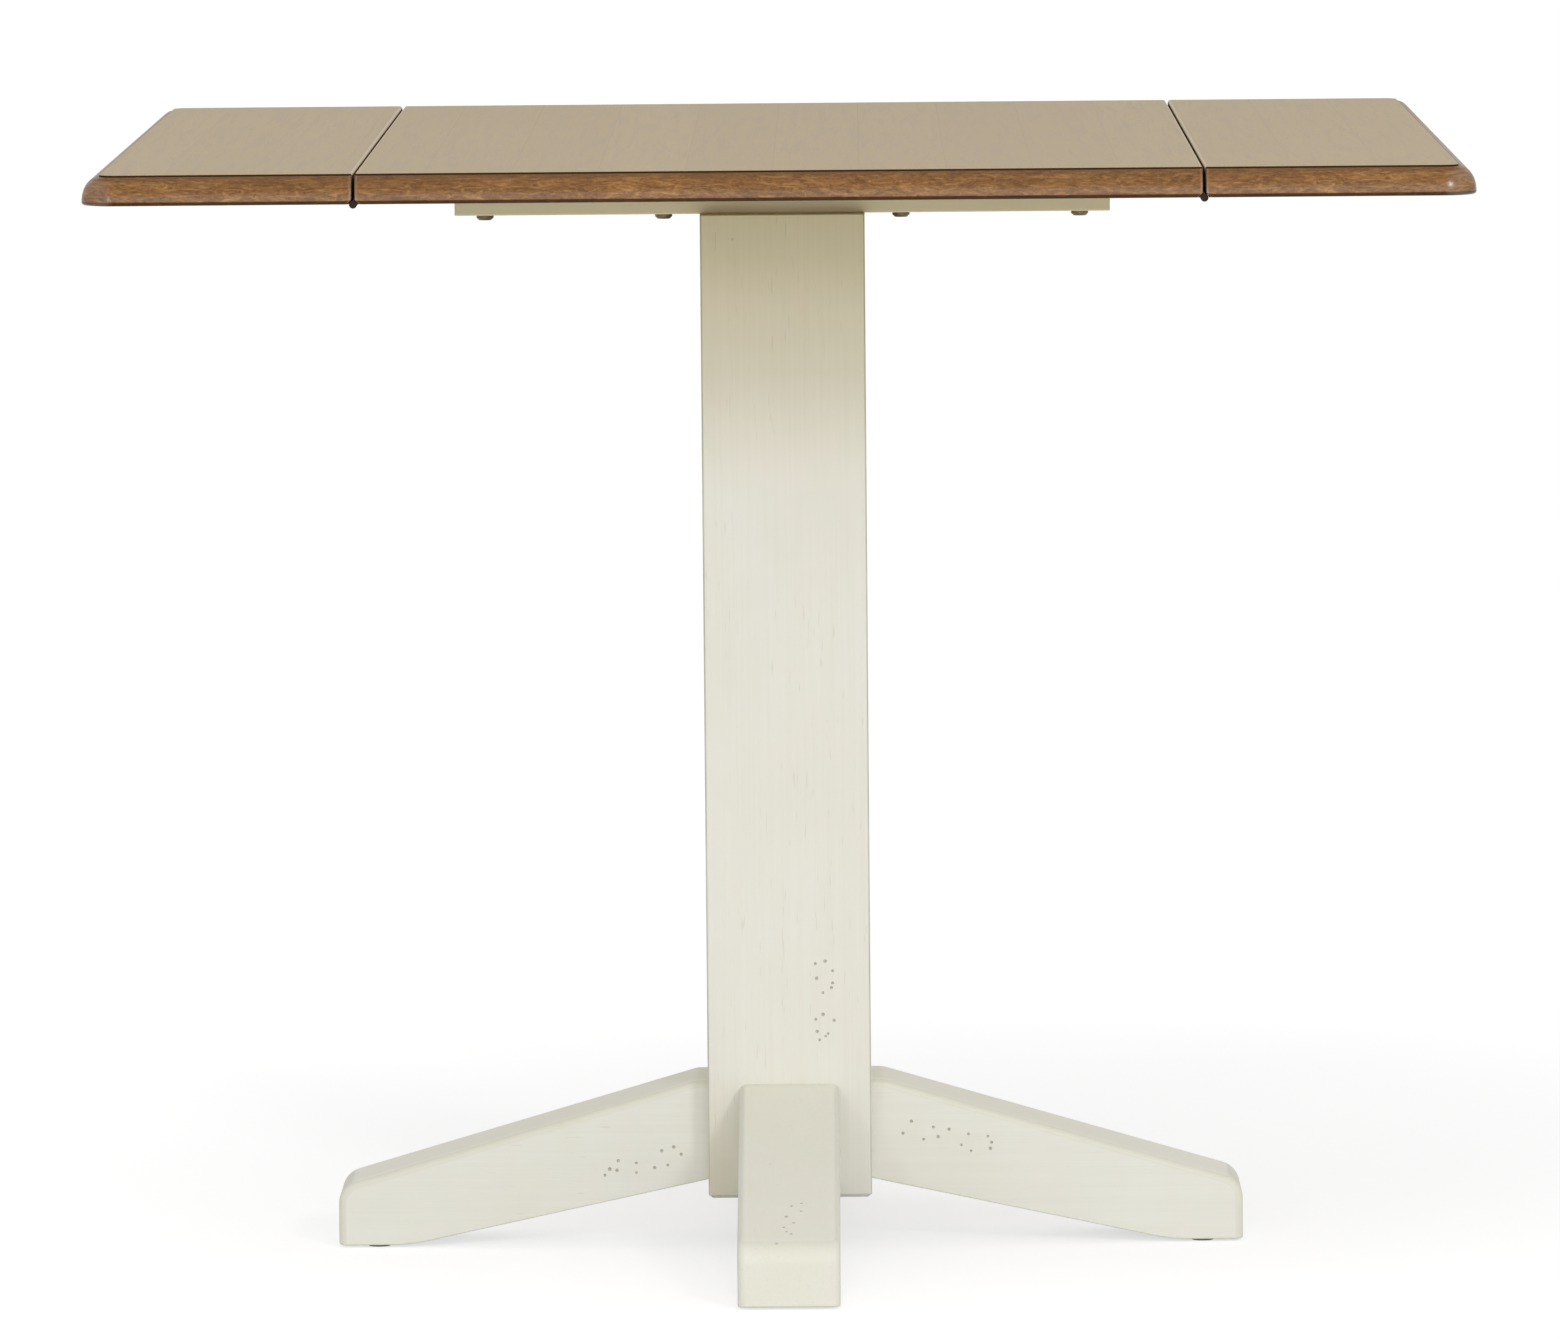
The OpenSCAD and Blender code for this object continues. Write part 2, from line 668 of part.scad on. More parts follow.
// Foot on the column's +X side.
module foot() {
    color(cream) difference() {
        translate([0, foot_w / 2, 0]) rotate([90, 0, 0]) linear_extrude(foot_w) foot_outline();
        foot_rounding();
        mirror([0, 1, 0]) foot_rounding();
        at_foot_bolts() translate([0, 0, -cut]) cylinder(h = foot_bolt_in + cut, r = foot_bolt_r + seat_fit);
        at_foot_dowels() translate([0, 0, -cut]) cylinder(h = dowel_in + cut, r = dowel_r + seat_fit);
        at_glides() translate([0, 0, foot_floor - cut]) cylinder(h = nail_l + cut, r = nail_r + seat_fit);
    }
}

module at_glides() {
    for (y = [-1, 1]) translate([glide_x, y * glide_pitch / 2, 0]) children();
}

// Each foot's hardware, repeated on the column's four faces.
module on_four_sides() {
    for (turn = [0:90:270]) rotate(turn) children();
}

module foot_hanger_bolts() {
    shank_out = column_wall + washer_t + nut_t + foot_bolt_end;
    color(zinc) on_four_sides() at_foot_bolts() translate([0, 0, -shank_out])
        cylinder(h = shank_out + foot_bolt_in, r = foot_bolt_r);
}

module foot_washers() {
    color(zinc) on_four_sides() at_foot_bolts() translate([0, 0, -column_wall - washer_t]) difference() {
        cylinder(h = washer_t, r = washer_r);
        translate([0, 0, -cut]) cylinder(h = washer_t + 2 * cut, r = foot_bolt_r + washer_fit);
    }
}

module foot_nuts() {
    color(zinc) on_four_sides() at_foot_bolts()
        translate([0, 0, -column_wall - washer_t - nut_t]) difference() {
            cylinder(h = nut_t, r = nut_af / 2 / cos(30), $fn = 6);
            translate([0, 0, -cut]) cylinder(h = nut_t + 2 * cut, r = foot_bolt_r + seat_fit);
        }
}

module foot_dowels() {
    color(beech) on_four_sides() at_foot_dowels() translate([0, 0, -dowel_in])
        cylinder(h = 2 * dowel_in, r = dowel_r);
}

module foot_glides() {
    color(felt) on_four_sides() at_glides() {
        cylinder(h = glide_t, r = glide_r);
        translate([0, 0, glide_t - lap]) cylinder(h = nail_l, r = nail_r);
    }
}

// ---- Assembly ----

centre_top();
on_side("left") leaf_panel();  // left_leaf
on_side("right") leaf_panel();  // right_leaf

for (side = ["left", "right"]) on_side(side) {
    at_axis() mirror([1, 0, 0]) hinge_plate(0);
    at_axis() hinge_plate(1);
    at_axis() hinge_pin();
    at_axis() mirror([1, 0, 0]) hinge_plate_screws();
    at_axis() hinge_plate_screws();
    for (i = [0, 1]) {
        brace = str(side, i == 0 ? "_front" : "_rear");
        y = brace_places[i];
        fixed_bracket(y);
        inner_arm(y);
        knee_rivet(y);
        outer_arm(y);
        leaf_bracket(y);
        fixed_pivot_rivet(y);  // fixed_pivot_rivets
        leaf_pivot_rivet(y);
        fixed_bracket_screw_set(y);  // fixed_bracket_screws
        leaf_bracket_screw_set(y);
    }
}

top_cleat();
top_bolts();
top_inserts();
column_screws();
column_board();  // column_right_board
rotate(90) column_board();  // column_back_board
rotate(180) column_board();  // column_left_board
rotate(270) column_board();  // column_front_board
column_top_block();
foot();  // foot_right
rotate(90) foot();  // foot_back
rotate(180) foot();  // foot_left
rotate(270) foot();  // foot_front
foot_hanger_bolts();
foot_washers();
foot_nuts();
foot_dowels();
foot_glides();
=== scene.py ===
"""Looks of the drop leaf table: stained top with a moulded brown nose, cream painted pedestal."""

import math
import random

import bmesh
import bpy
from mathutils import Matrix, Vector


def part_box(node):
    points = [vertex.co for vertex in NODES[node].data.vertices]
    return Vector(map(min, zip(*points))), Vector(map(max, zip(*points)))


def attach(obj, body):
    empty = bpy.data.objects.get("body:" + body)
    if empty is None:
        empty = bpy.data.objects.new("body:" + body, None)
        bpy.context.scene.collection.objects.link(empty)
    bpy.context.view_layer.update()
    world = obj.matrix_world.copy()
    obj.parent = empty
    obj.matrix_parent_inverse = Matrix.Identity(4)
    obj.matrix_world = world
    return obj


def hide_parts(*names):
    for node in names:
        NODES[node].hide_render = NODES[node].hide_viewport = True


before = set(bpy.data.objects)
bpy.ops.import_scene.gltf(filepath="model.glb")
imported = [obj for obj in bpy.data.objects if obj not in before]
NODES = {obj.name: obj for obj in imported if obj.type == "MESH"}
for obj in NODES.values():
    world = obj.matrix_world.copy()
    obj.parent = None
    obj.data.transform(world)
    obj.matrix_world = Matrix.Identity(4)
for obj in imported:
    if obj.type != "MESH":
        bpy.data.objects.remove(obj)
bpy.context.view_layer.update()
MM = 0.001


# ---------------------------------------------------------------- camera, light, floor

CAMERA_AT = (0.0532, -8.9451, 1.4138)
CAMERA_YAW = -0.3748        # degrees to the right
CAMERA_TILT = 6.0046        # degrees down
CAMERA_ROLL = -0.4946       # degrees
LENS = 251.78               # millimetres
SENSOR = 36                 # millimetres
LAMP_AIM = (0, 0, 0.6)
WORLD_FILL = 0.95


def make_camera():
    """Long lens from a little above the table top, tilted down and a touch out of level."""
    yaw, tilt, roll = (math.radians(a) for a in (CAMERA_YAW, CAMERA_TILT, CAMERA_ROLL))
    ahead = Vector((math.sin(yaw), math.cos(yaw), 0))
    right = Vector((math.cos(yaw), -math.sin(yaw), 0))
    look = ahead * math.cos(tilt) - Vector((0, 0, math.sin(tilt)))
    up = Vector((0, 0, math.cos(tilt))) + ahead * math.sin(tilt)
    right, up = (right * math.cos(roll) + up * math.sin(roll),
                 up * math.cos(roll) - right * math.sin(roll))
    data = bpy.data.cameras.new("camera")
    data.lens = LENS
    data.sensor_width = SENSOR
    data.clip_end = 400
    camera = bpy.data.objects.new("camera", data)
    turn = Matrix((right, up, -look)).transposed().to_4x4()
    camera.matrix_world = Matrix.Translation(Vector(CAMERA_AT)) @ turn
    bpy.context.scene.collection.objects.link(camera)
    bpy.context.scene.camera = camera


def make_lamp(name, place, width, height, power):
    """A white soft box at place, turned towards the object."""
    data = bpy.data.lights.new(name, "AREA")
    data.shape = "RECTANGLE"
    data.size = width
    data.size_y = height
    data.energy = power
    lamp = bpy.data.objects.new(name, data)
    lamp.location = place
    way = Vector(LAMP_AIM) - Vector(place)
    lamp.rotation_euler = way.to_track_quat("-Z", "Y").to_euler()
    bpy.context.scene.collection.objects.link(lamp)


def around(azimuth, elevation, distance):
    """A place seen from the lamps' aim, at an azimuth from the front, positive to the right."""
    a, e = math.radians(azimuth), math.radians(elevation)
    way = Vector((math.sin(a) * math.cos(e), -math.cos(a) * math.cos(e), math.sin(e)))
    return Vector(LAMP_AIM) + way * distance


def make_lamps():
    """A key on the right, a wide soft box in front, a small sparkle on the left, a low fill."""
    make_lamp("key", around(27, 23.6, 5.0), 0.75, 0.65, 46)
    make_lamp("front_box", around(2, 12.5, 6.0), 3.0, 1.7, 46)
    make_lamp("sparkle", around(-22, 13, 5.0), 0.40, 0.35, 14)
    make_lamp("low_fill", (0, -6.0, 0.75), 3.0, 1.0, 12)


def link_ray_switch(tree, socket):
    """Links 1 into socket for camera, glossy and transmission rays, and 0 for the rest."""
    path = tree.nodes.new("ShaderNodeLightPath")
    total = path.outputs["Is Camera Ray"]
    for name in ("Is Glossy Ray", "Is Transmission Ray"):
        most = tree.nodes.new("ShaderNodeMath")
        most.operation = "MAXIMUM"
        tree.links.new(total, most.inputs[0])
        tree.links.new(path.outputs[name], most.inputs[1])
        total = most.outputs[0]
    tree.links.new(total, socket)


def make_world():
    """Even white fill; camera, mirror and glass rays see plain white."""
    world = bpy.data.worlds.new("studio")
    bpy.context.scene.world = world
    world.use_nodes = True
    tree = world.node_tree
    tree.nodes.clear()
    out = tree.nodes.new("ShaderNodeOutputWorld")
    light = tree.nodes.new("ShaderNodeBackground")
    light.inputs["Strength"].default_value = WORLD_FILL
    seen = tree.nodes.new("ShaderNodeBackground")
    mix = tree.nodes.new("ShaderNodeMixShader")
    link_ray_switch(tree, mix.inputs[0])
    tree.links.new(light.outputs[0], mix.inputs[1])
    tree.links.new(seen.outputs[0], mix.inputs[2])
    tree.links.new(mix.outputs[0], out.inputs[0])


FLOOR_REACH = 150
FLOOR_GLOW = 0.68           # what brings the lit floor up to near white
PAINTED_SHADOW_DIP = 0.08             # how far the glow falls in the painted shadow
PAINTED_SHADOW_AT = (0.25, 0.60, 0)
PAINTED_SHADOW_FULL = 0.30            # the dip is full up to here from its middle, in metres
PAINTED_SHADOW_END = 1.15


def floor_glow_and_painted_shadow(tree):
    """The floor's glow, with a painted shadow: it falls a little in a soft patch under and behind the
    object.
    """
    place = tree.nodes.new("ShaderNodeTexCoord")
    away = tree.nodes.new("ShaderNodeVectorMath")
    away.operation = "DISTANCE"
    away.inputs[1].default_value = PAINTED_SHADOW_AT
    tree.links.new(place.outputs["Object"], away.inputs[0])
    painted_shadow_pool = tree.nodes.new("ShaderNodeMapRange")
    painted_shadow_pool.interpolation_type = "SMOOTHSTEP"
    levels = {"From Min": PAINTED_SHADOW_FULL, "From Max": PAINTED_SHADOW_END, "To Min": FLOOR_GLOW - PAINTED_SHADOW_DIP,
              "To Max": FLOOR_GLOW}
    for name, value in levels.items():
        painted_shadow_pool.inputs[name].default_value = value
    tree.links.new(away.outputs["Value"], painted_shadow_pool.inputs["Value"])
    return painted_shadow_pool.outputs[0]


def floor_paint():
    """Matt for the light it throws back. Seen, it is a darker matt with a glow added, which dips in a
    painted shadow.
    """
    material = bpy.data.materials.new("floor")
    material.use_nodes = True
    tree = material.node_tree
    tree.nodes.clear()
    out = tree.nodes.new("ShaderNodeOutputMaterial")
    matt = tree.nodes.new("ShaderNodeBsdfDiffuse")
    matt.inputs["Color"].default_value = (0.80, 0.80, 0.79, 1)
    shade = tree.nodes.new("ShaderNodeBsdfDiffuse")
    shade.inputs["Color"].default_value = (0.45, 0.45, 0.45, 1)
    glow = tree.nodes.new("ShaderNodeEmission")
    tree.links.new(floor_glow_and_painted_shadow(tree), glow.inputs["Strength"])
    seen = tree.nodes.new("ShaderNodeAddShader")
    mix = tree.nodes.new("ShaderNodeMixShader")
    link_ray_switch(tree, mix.inputs[0])
    tree.links.new(shade.outputs[0], seen.inputs[0])
    tree.links.new(glow.outputs[0], seen.inputs[1])
    tree.links.new(matt.outputs[0], mix.inputs[1])
    tree.links.new(seen.outputs[0], mix.inputs[2])
    tree.links.new(mix.outputs[0], out.inputs[0])
    return material


def make_floor():
    """Pale floor that is seen as near white, with the object's soft shadow left in it."""
    r = FLOOR_REACH
    mesh = bpy.data.meshes.new("floor")
    mesh.from_pydata([(-r, -r, 0), (r, -r, 0), (r, r, 0), (-r, r, 0)], [], [(0, 1, 2, 3)])
    mesh.materials.append(floor_paint())
    floor = bpy.data.objects.new("floor", mesh)
    bpy.context.scene.collection.objects.link(floor)


def make_studio():
    make_camera()
    make_world()
    make_lamps()
    make_floor()
    bpy.context.scene.view_settings.view_transform = "Standard"


# ---------------------------------------------------------------- shader helpers

def srgb(r, g, b):
    """Linear RGBA from 0-255 screen values."""
    def lin(c):
        c /= 255
        return c / 12.92 if c <= 0.04045 else ((c + 0.055) / 1.055) ** 2.4
    return (lin(r), lin(g), lin(b), 1)


class Shader:
    """A material under construction, with short calls for the nodes used here."""

    def __init__(self, name):
        self.material = bpy.data.materials.new(name)
        self.material.use_nodes = True
        self.tree = self.material.node_tree
        self.bsdf = self.tree.nodes["Principled BSDF"]

    def node(self, kind, inputs=(), **settings):
        n = self.tree.nodes.new("ShaderNode" + kind)
        for key, value in settings.items():
            setattr(n, key, value)
        for key, value in dict(inputs).items():
            self.put(n.inputs[key], value)
        return n

    def put(self, socket, value):
        if isinstance(value, bpy.types.NodeSocket):
            self.tree.links.new(value, socket)
        else:
            socket.default_value = value

    def set(self, **inputs):
        """Principled BSDF inputs by name, with underscores for spaces."""
        for key, value in inputs.items():
            self.put(self.bsdf.inputs[key.replace("_", " ")], value)

    def coord(self, which="Object"):
        return self.node("TexCoord").outputs[which]

    def split(self, vector):
        return self.node("SeparateXYZ", {0: vector}).outputs

    def join(self, x, y, z=0.0):
        return self.node("CombineXYZ", {0: x, 1: y, 2: z}).outputs[0]

    def stretch(self, vector, scale, shift=(0, 0, 0)):
        """vector times scale plus shift."""
        n = self.node("Mapping", {"Vector": vector, "Scale": scale, "Location": shift})
        return n.outputs[0]

    def noise(self, vector, detail, rough=0.5, warp=0.0):
        """Noise of one cell per unit of vector, 0 to 1 with most of it near 0.5."""
        n = self.node("TexNoise", {"Vector": vector, "Scale": 1.0, "Detail": detail,
                                   "Roughness": rough, "Distortion": warp})
        return n.outputs["Fac"]

    def dice(self, value):
        """Three random numbers of a whole number, as a split vector."""
        n = self.node("TexWhiteNoise", {"W": value}, noise_dimensions="1D")
        return self.split(n.outputs["Color"])

    def math(self, op, a, b=0.0):
        return self.node("Math", {0: a, 1: b}, operation=op).outputs[0]

    def blend(self, *terms):
        """Weighted sum of (weight, value) terms."""
        total = self.math("MULTIPLY", terms[0][1], terms[0][0])
        for weight, value in terms[1:]:
            total = self.math("ADD", total, self.math("MULTIPLY", value, weight))
        return total

    def remap(self, value, low, high, to_low=0.0, to_high=1.0):
        n = self.node("MapRange", {"Value": value, "From Min": low, "From Max": high,
                                   "To Min": to_low, "To Max": to_high}, clamp=True)
        return n.outputs[0]

    def ramp(self, value, *stops):
        """Colour ramp with stops of (position, colour)."""
        n = self.node("ValToRGB", {"Fac": value})
        ramp = n.color_ramp
        while len(ramp.elements) < len(stops):
            ramp.elements.new(0.5)
        for element, (at, colour) in zip(ramp.elements, stops):
            element.position = at
            element.color = colour
        return n.outputs[0]

    def mix(self, fac, a, b, blend="MIX"):
        n = self.node("Mix", data_type="RGBA", blend_type=blend, clamp_factor=True)
        self.put(n.inputs["Factor"], fac)
        self.put(n.inputs["A"], a)
        self.put(n.inputs["B"], b)
        return n.outputs["Result"]

    def finish(self, colour, roughness, height, depth, strength=0.7):
        """Colour, roughness and a bump of the given height field and depth in metres."""
        bump = self.node("Bump", {"Height": height, "Distance": depth, "Strength": strength})
        self.set(Base_Color=colour, Roughness=roughness, Normal=bump.outputs[0])
        return self.material


# ---------------------------------------------------------------- wood materials

STAVE = 67.5 * MM           # width of the solid boards that the top is glued up from
STAVE_SHIFT = 5 * MM        # how far the boards are set off from the middle of the table
JOINT_X = 330 * MM          # middle of the gaps between the centre panel and the leaves


def wood_figure(s, along, seed):
    """Wood in metres with its grain along X: (broad streaks, fine fibres, pores), each 0 to 1."""
    bend = s.noise(s.stretch(along, (3.0, 14, 14), (seed, 0, 0)), detail=2)
    lift = s.join(0, s.math("MULTIPLY", bend, 20 * MM))
    path = s.node("VectorMath", {0: along, 1: lift}, operation="ADD").outputs[0]
    broad = s.noise(s.stretch(path, (7, 150, 150), (0, seed, 0)), detail=4, rough=0.55, warp=0.6)
    fine = s.noise(s.stretch(path, (55, 1500, 1500), (0, 0, seed)), detail=2, rough=0.6)
    pores = s.noise(s.stretch(path, (140, 1900, 1900), (seed, seed, 0)), detail=1)
    return broad, fine, s.remap(pores, 0.66, 0.74)


def stave_of(s, x):
    """(number, place in the stave from its middle in metres) of the board at x."""
    at = s.math("DIVIDE", s.math("ADD", x, STAVE_SHIFT), STAVE)
    number = s.math("FLOOR", at)
    local = s.math("MULTIPLY", s.math("SUBTRACT", s.math("SUBTRACT", at, number), 0.5), STAVE)
    return number, local


def joint_distance(s, x):
    """Distance of x from the middle of the nearer joint, in metres."""
    return s.math("ABSOLUTE", s.math("SUBTRACT", s.math("ABSOLUTE", x), JOINT_X))


def fly_specks(s, here, colour, amount):
    """Sparse small dark specks, as flicked on in an antiqued finish."""
    cells = s.node("TexVoronoi", {"Vector": here, "Scale": 26.0, "Randomness": 1.0})
    near = s.remap(cells.outputs["Distance"], 0.022, 0.040, 1.0, 0.0)
    some = s.node("SeparateColor", {0: cells.outputs["Color"]})
    keep = s.math("GREATER_THAN", some.outputs[0], 0.72)
    speck = s.math("MULTIPLY", s.math("MULTIPLY", near, keep), amount)
    return s.mix(speck, colour, srgb(70, 52, 36))


def stained_field():
    """Satin tan-brown stain on boards that run from front to back."""
    s = Shader("stained_field")
    here = s.coord()
    x, y, z = s.split(here)
    number, local = stave_of(s, x)
    own = s.dice(number)
    grain = s.join(s.math("ADD", y, s.math("MULTIPLY", own[0], 5.0)), x, s.math("ADD", z, own[1]))
    broad, fine, pores = wood_figure(s, grain, 2.3)
    tone = s.blend((0.7, broad), (0.3, fine))
    colour = s.ramp(tone, (0.25, srgb(146, 118, 76)), (0.5, srgb(175, 150, 102)),
                    (0.75, srgb(190, 167, 122)))
    cloud = s.noise(s.stretch(here, (5, 9, 9)), detail=3)
    colour = s.mix(s.remap(cloud, 0.3, 0.75, 0.0, 0.35), colour, srgb(170, 148, 100))
    colour = s.mix(s.remap(own[2], 0, 1, 0.0, 0.22), colour, srgb(158, 132, 84))
    seam = s.remap(s.math("ABSOLUTE", local), STAVE / 2 - 0.5 * MM, STAVE / 2, 0.0, 0.25)
    colour = s.mix(seam, colour, srgb(112, 86, 56))
    colour = s.mix(s.math("MULTIPLY", pores, 0.4), colour, srgb(104, 80, 52))
    # Painted highlight on the eased arrises along each joint.
    painted_arris_highlight = s.remap(joint_distance(s, x), 2.2 * MM, 3.2 * MM, 0.55, 0.0)
    colour = s.mix(painted_arris_highlight, colour, srgb(216, 202, 172))
    colour = fly_specks(s, here, colour, 0.55)
    height = s.math("SUBTRACT", s.math("MULTIPLY", fine, 0.35), pores)
    return s.finish(colour, s.remap(broad, 0.3, 0.8, 0.38, 0.47), height, 0.06 * MM)


def end_grain(s, x, down):
    """Faint growth rings across the ends of the staves, and each stave's own tone, both 0 to 1."""
    number, local = stave_of(s, x)
    own = s.dice(number)
    side = s.math("SUBTRACT", s.math("MULTIPLY", s.math("GREATER_THAN", own[2], 0.5), 2.0), 1.0)
    heart_x = s.math("MULTIPLY", s.math("SUBTRACT", own[0], 0.5), 110 * MM)
    heart_z = s.math("MULTIPLY", side, s.math("ADD", s.math("MULTIPLY", own[1], 60 * MM), 40 * MM))
    away = s.join(s.math("SUBTRACT", local, heart_x), s.math("SUBTRACT", down, heart_z))
    radius = s.node("VectorMath", {0: away}, operation="LENGTH").outputs["Value"]
    place = s.join(x, down)
    wobble = s.noise(s.stretch(place, (30, 110, 1)), detail=4, rough=0.65)
    radius = s.math("ADD", radius, s.math("MULTIPLY", wobble, 16 * MM))
    return s.noise(s.join(s.math("MULTIPLY", radius, 420), own[0], own[1]), detail=3), own[2]


NOSE_FOOT = 4.55 * MM       # where the dark line along the foot of the moulding starts to show
NOSE_FOOT_FULL = 4.15 * MM  # and where it is full, both from the moulding's lower end


def nose_figure(s, edge, x, down, on_end):
    """Stained figure of the moulded edge, as (colour, streaks, swirls, pores)."""
    broad, fine, pores = wood_figure(s, edge, 7.7)
    rings, own = end_grain(s, x, down)
    swirl = s.noise(s.stretch(edge, (48, 190, 1), (3, 1, 0)), detail=6, rough=0.66, warp=1.8)
    flame = s.noise(s.stretch(edge, (42, 150, 1), (1, 7, 0)), detail=6, rough=0.6, warp=2.2)
    fleck = s.noise(s.stretch(edge, (170, 330, 1), (4, 4, 0)), detail=3, rough=0.6, warp=1.4)
    grit = s.noise(s.stretch(edge, (260, 900, 1)), detail=2, rough=0.6)
    cloud = s.noise(s.stretch(edge, (9, 30, 1), (8, 2, 0)), detail=2)
    ends = s.blend((0.26, rings), (0.40, swirl), (0.20, broad), (0.14, grit))
    sides = s.blend((0.50, broad), (0.35, swirl), (0.15, fine))
    tone = s.node("Mix", {"Factor": on_end, "A": sides, "B": ends}).outputs[0]
    colour = s.ramp(tone, (0.36, srgb(82, 51, 21)), (0.46, srgb(118, 78, 36)),
                    (0.55, srgb(142, 98, 50)), (0.64, srgb(168, 124, 74)))
    colour = s.mix(s.remap(own, 0, 1, 0.0, 0.50), colour, srgb(108, 70, 35))
    colour = s.mix(s.remap(cloud, 0.42, 0.68, 0.0, 0.3), colour, srgb(114, 75, 38))
    colour = s.mix(s.math("MULTIPLY", pores, 0.8), colour, srgb(66, 42, 20))
    colour = s.mix(s.remap(flame, 0.52, 0.72, 0.0, 0.60), colour, srgb(180, 136, 84))
    colour = s.mix(s.remap(flame, 0.46, 0.34, 0.0, 0.6), colour, srgb(84, 52, 20))
    colour = s.mix(s.remap(fleck, 0.57, 0.72, 0.0, 0.22), colour, srgb(186, 144, 96))
    colour = s.mix(s.remap(fleck, 0.42, 0.31, 0.0, 0.62), colour, srgb(78, 48, 20))
    return colour, broad, swirl, pores


def nose_glaze_and_sheen(s, colour, edge, down, on_end):
    """Below the step: painted sheen in tan on the long-grain sides, darker on the ends near the step,
    a ragged dark glaze line.
    """
    on_side = s.math("SUBTRACT", 1, on_end)
    # Painted sheen: the upper long-grain sides lightened towards the field's tan.
    painted_sheen = s.math("MULTIPLY", s.remap(down, 3 * MM, 11 * MM, 0.5, 0.0), on_side)
    colour = s.mix(painted_sheen, colour, srgb(158, 134, 92))
    deep = s.math("MULTIPLY", s.remap(down, 3 * MM, 13 * MM, 0.65, 0.0), on_end)
    colour = s.mix(deep, colour, srgb(93, 58, 23))
    ragged = s.noise(s.stretch(edge, (130, 300, 1)), detail=3)
    rim = s.math("SUBTRACT", down, s.math("MULTIPLY", ragged, 1.2 * MM))
    return s.mix(s.remap(rim, 2.1 * MM, 3.8 * MM, 0.97, 0.0), colour, srgb(54, 32, 11))


def nose_lines(s, colour, x, down, foot):
    """Fine lines: dark along the foot, a painted highlight on the arris of the field, a painted
    highlight beside a joint and dark in it.
    """
    colour = s.mix(s.math("MULTIPLY", foot, 0.85), colour, srgb(50, 31, 15))
    # Painted highlight along the eased arris of the field.
    arris = s.remap(down, 0.5 * MM, 0.8 * MM, 1.0, 0.0)
    colour = s.mix(s.math("MULTIPLY", arris, 0.8), colour, srgb(200, 180, 138))
    gap = joint_distance(s, x)
    # Painted highlight on the upright arrises beside a joint.
    beside = s.remap(gap, 3.0 * MM, 3.6 * MM, 0.45, 0.0)
    strip = s.math("MULTIPLY", beside, s.remap(down, 2 * MM, 4 * MM))
    colour = s.mix(strip, colour, srgb(150, 112, 74))
    return s.mix(s.remap(gap, 1.6 * MM, 2.1 * MM, 0.85, 0.0), colour, srgb(56, 35, 17))


def nose_shine(s, facing, down, foot):
    """Gloss of the moulded edge: little by the step, more lower down, most on handled corners."""
    lower = s.remap(down, 3 * MM, 12 * MM, 0.03, 0.22)
    lower = s.math("MULTIPLY", lower, s.remap(foot, 0, 1, 1.0, 0.3))
    corner = s.math("ABSOLUTE", s.math("MULTIPLY", facing[0], facing[1]))
    handled = s.math("MULTIPLY", s.remap(corner, 0.0, 0.25),
                     s.remap(down, 8 * MM, 14 * MM, 0.0, 0.48))
    outer = s.remap(s.math("ABSOLUTE", facing[0]), 0.45, 0.90, 1.0, 0.25)
    return s.math("MULTIPLY", s.math("ADD", lower, handled), outer)


def brown_nose(length):
    """Warm brown moulded edge. UV runs in metres, along the edge and down the moulding.

    length is the moulding's length from the flat field to the underside. The front and back
    edges show the ends of the staves, the outer edges of the leaves their long grain.
    """
    s = Shader("brown_nose")
    edge = s.coord("UV")
    down = s.split(edge)[1]
    x = s.split(s.coord())[0]
    facing = s.split(s.coord("Normal"))
    lean = s.math("SUBTRACT", s.math("ABSOLUTE", facing[1]), s.math("ABSOLUTE", facing[0]))
    on_end = s.remap(lean, -0.15, 0.15)
    foot = s.remap(down, length - NOSE_FOOT, length - NOSE_FOOT_FULL)
    colour, broad, swirl, pores = nose_figure(s, edge, x, down, on_end)
    colour = nose_glaze_and_sheen(s, colour, edge, down, on_end)
    colour = nose_lines(s, colour, x, down, foot)
    shine = nose_shine(s, facing, down, foot)
    s.set(Specular_IOR_Level=shine, Coat_Weight=shine, Coat_Roughness=0.25)
    height = s.math("SUBTRACT", s.math("MULTIPLY", swirl, 0.6), pores)
    return s.finish(colour, s.remap(broad, 0.3, 0.8, 0.26, 0.36), height, 0.10 * MM)


def brown_underside():
    """Thin brown stain with little gloss, on hidden faces and in the joints."""
    s = Shader("brown_underside")
    x, y, z = s.split(s.coord())
    own = s.dice(stave_of(s, x)[0])
    grain = s.join(s.math("ADD", y, s.math("MULTIPLY", own[0], 5.0)), x, z)
    broad, fine, pores = wood_figure(s, grain, 5.1)
    colour = s.ramp(s.blend((0.7, broad), (0.3, fine)), (0.25, srgb(90, 60, 34)),
                    (0.55, srgb(126, 90, 56)), (0.8, srgb(150, 113, 76)))
    colour = s.mix(s.remap(own[2], 0, 1, 0.0, 0.25), colour, srgb(108, 74, 44))
    colour = s.mix(s.math("MULTIPLY", pores, 0.5), colour, srgb(66, 44, 26))
    height = s.math("SUBTRACT", fine, pores)
    return s.finish(colour, s.remap(fine, 0.2, 0.8, 0.5, 0.68), height, 0.10 * MM, 0.8)


def raw_beech():
    """Unfinished wood of the dowels and of the block in the column."""
    s = Shader("raw_beech")
    broad, fine, pores = wood_figure(s, s.coord(), 9.2)
    colour = s.ramp(broad, (0.25, srgb(196, 158, 116)), (0.75, srgb(222, 190, 150)))
    colour = s.mix(s.math("MULTIPLY", pores, 0.5), colour, srgb(150, 112, 76))
    return s.finish(colour, s.remap(fine, 0.2, 0.8, 0.6, 0.75), fine, 0.08 * MM)


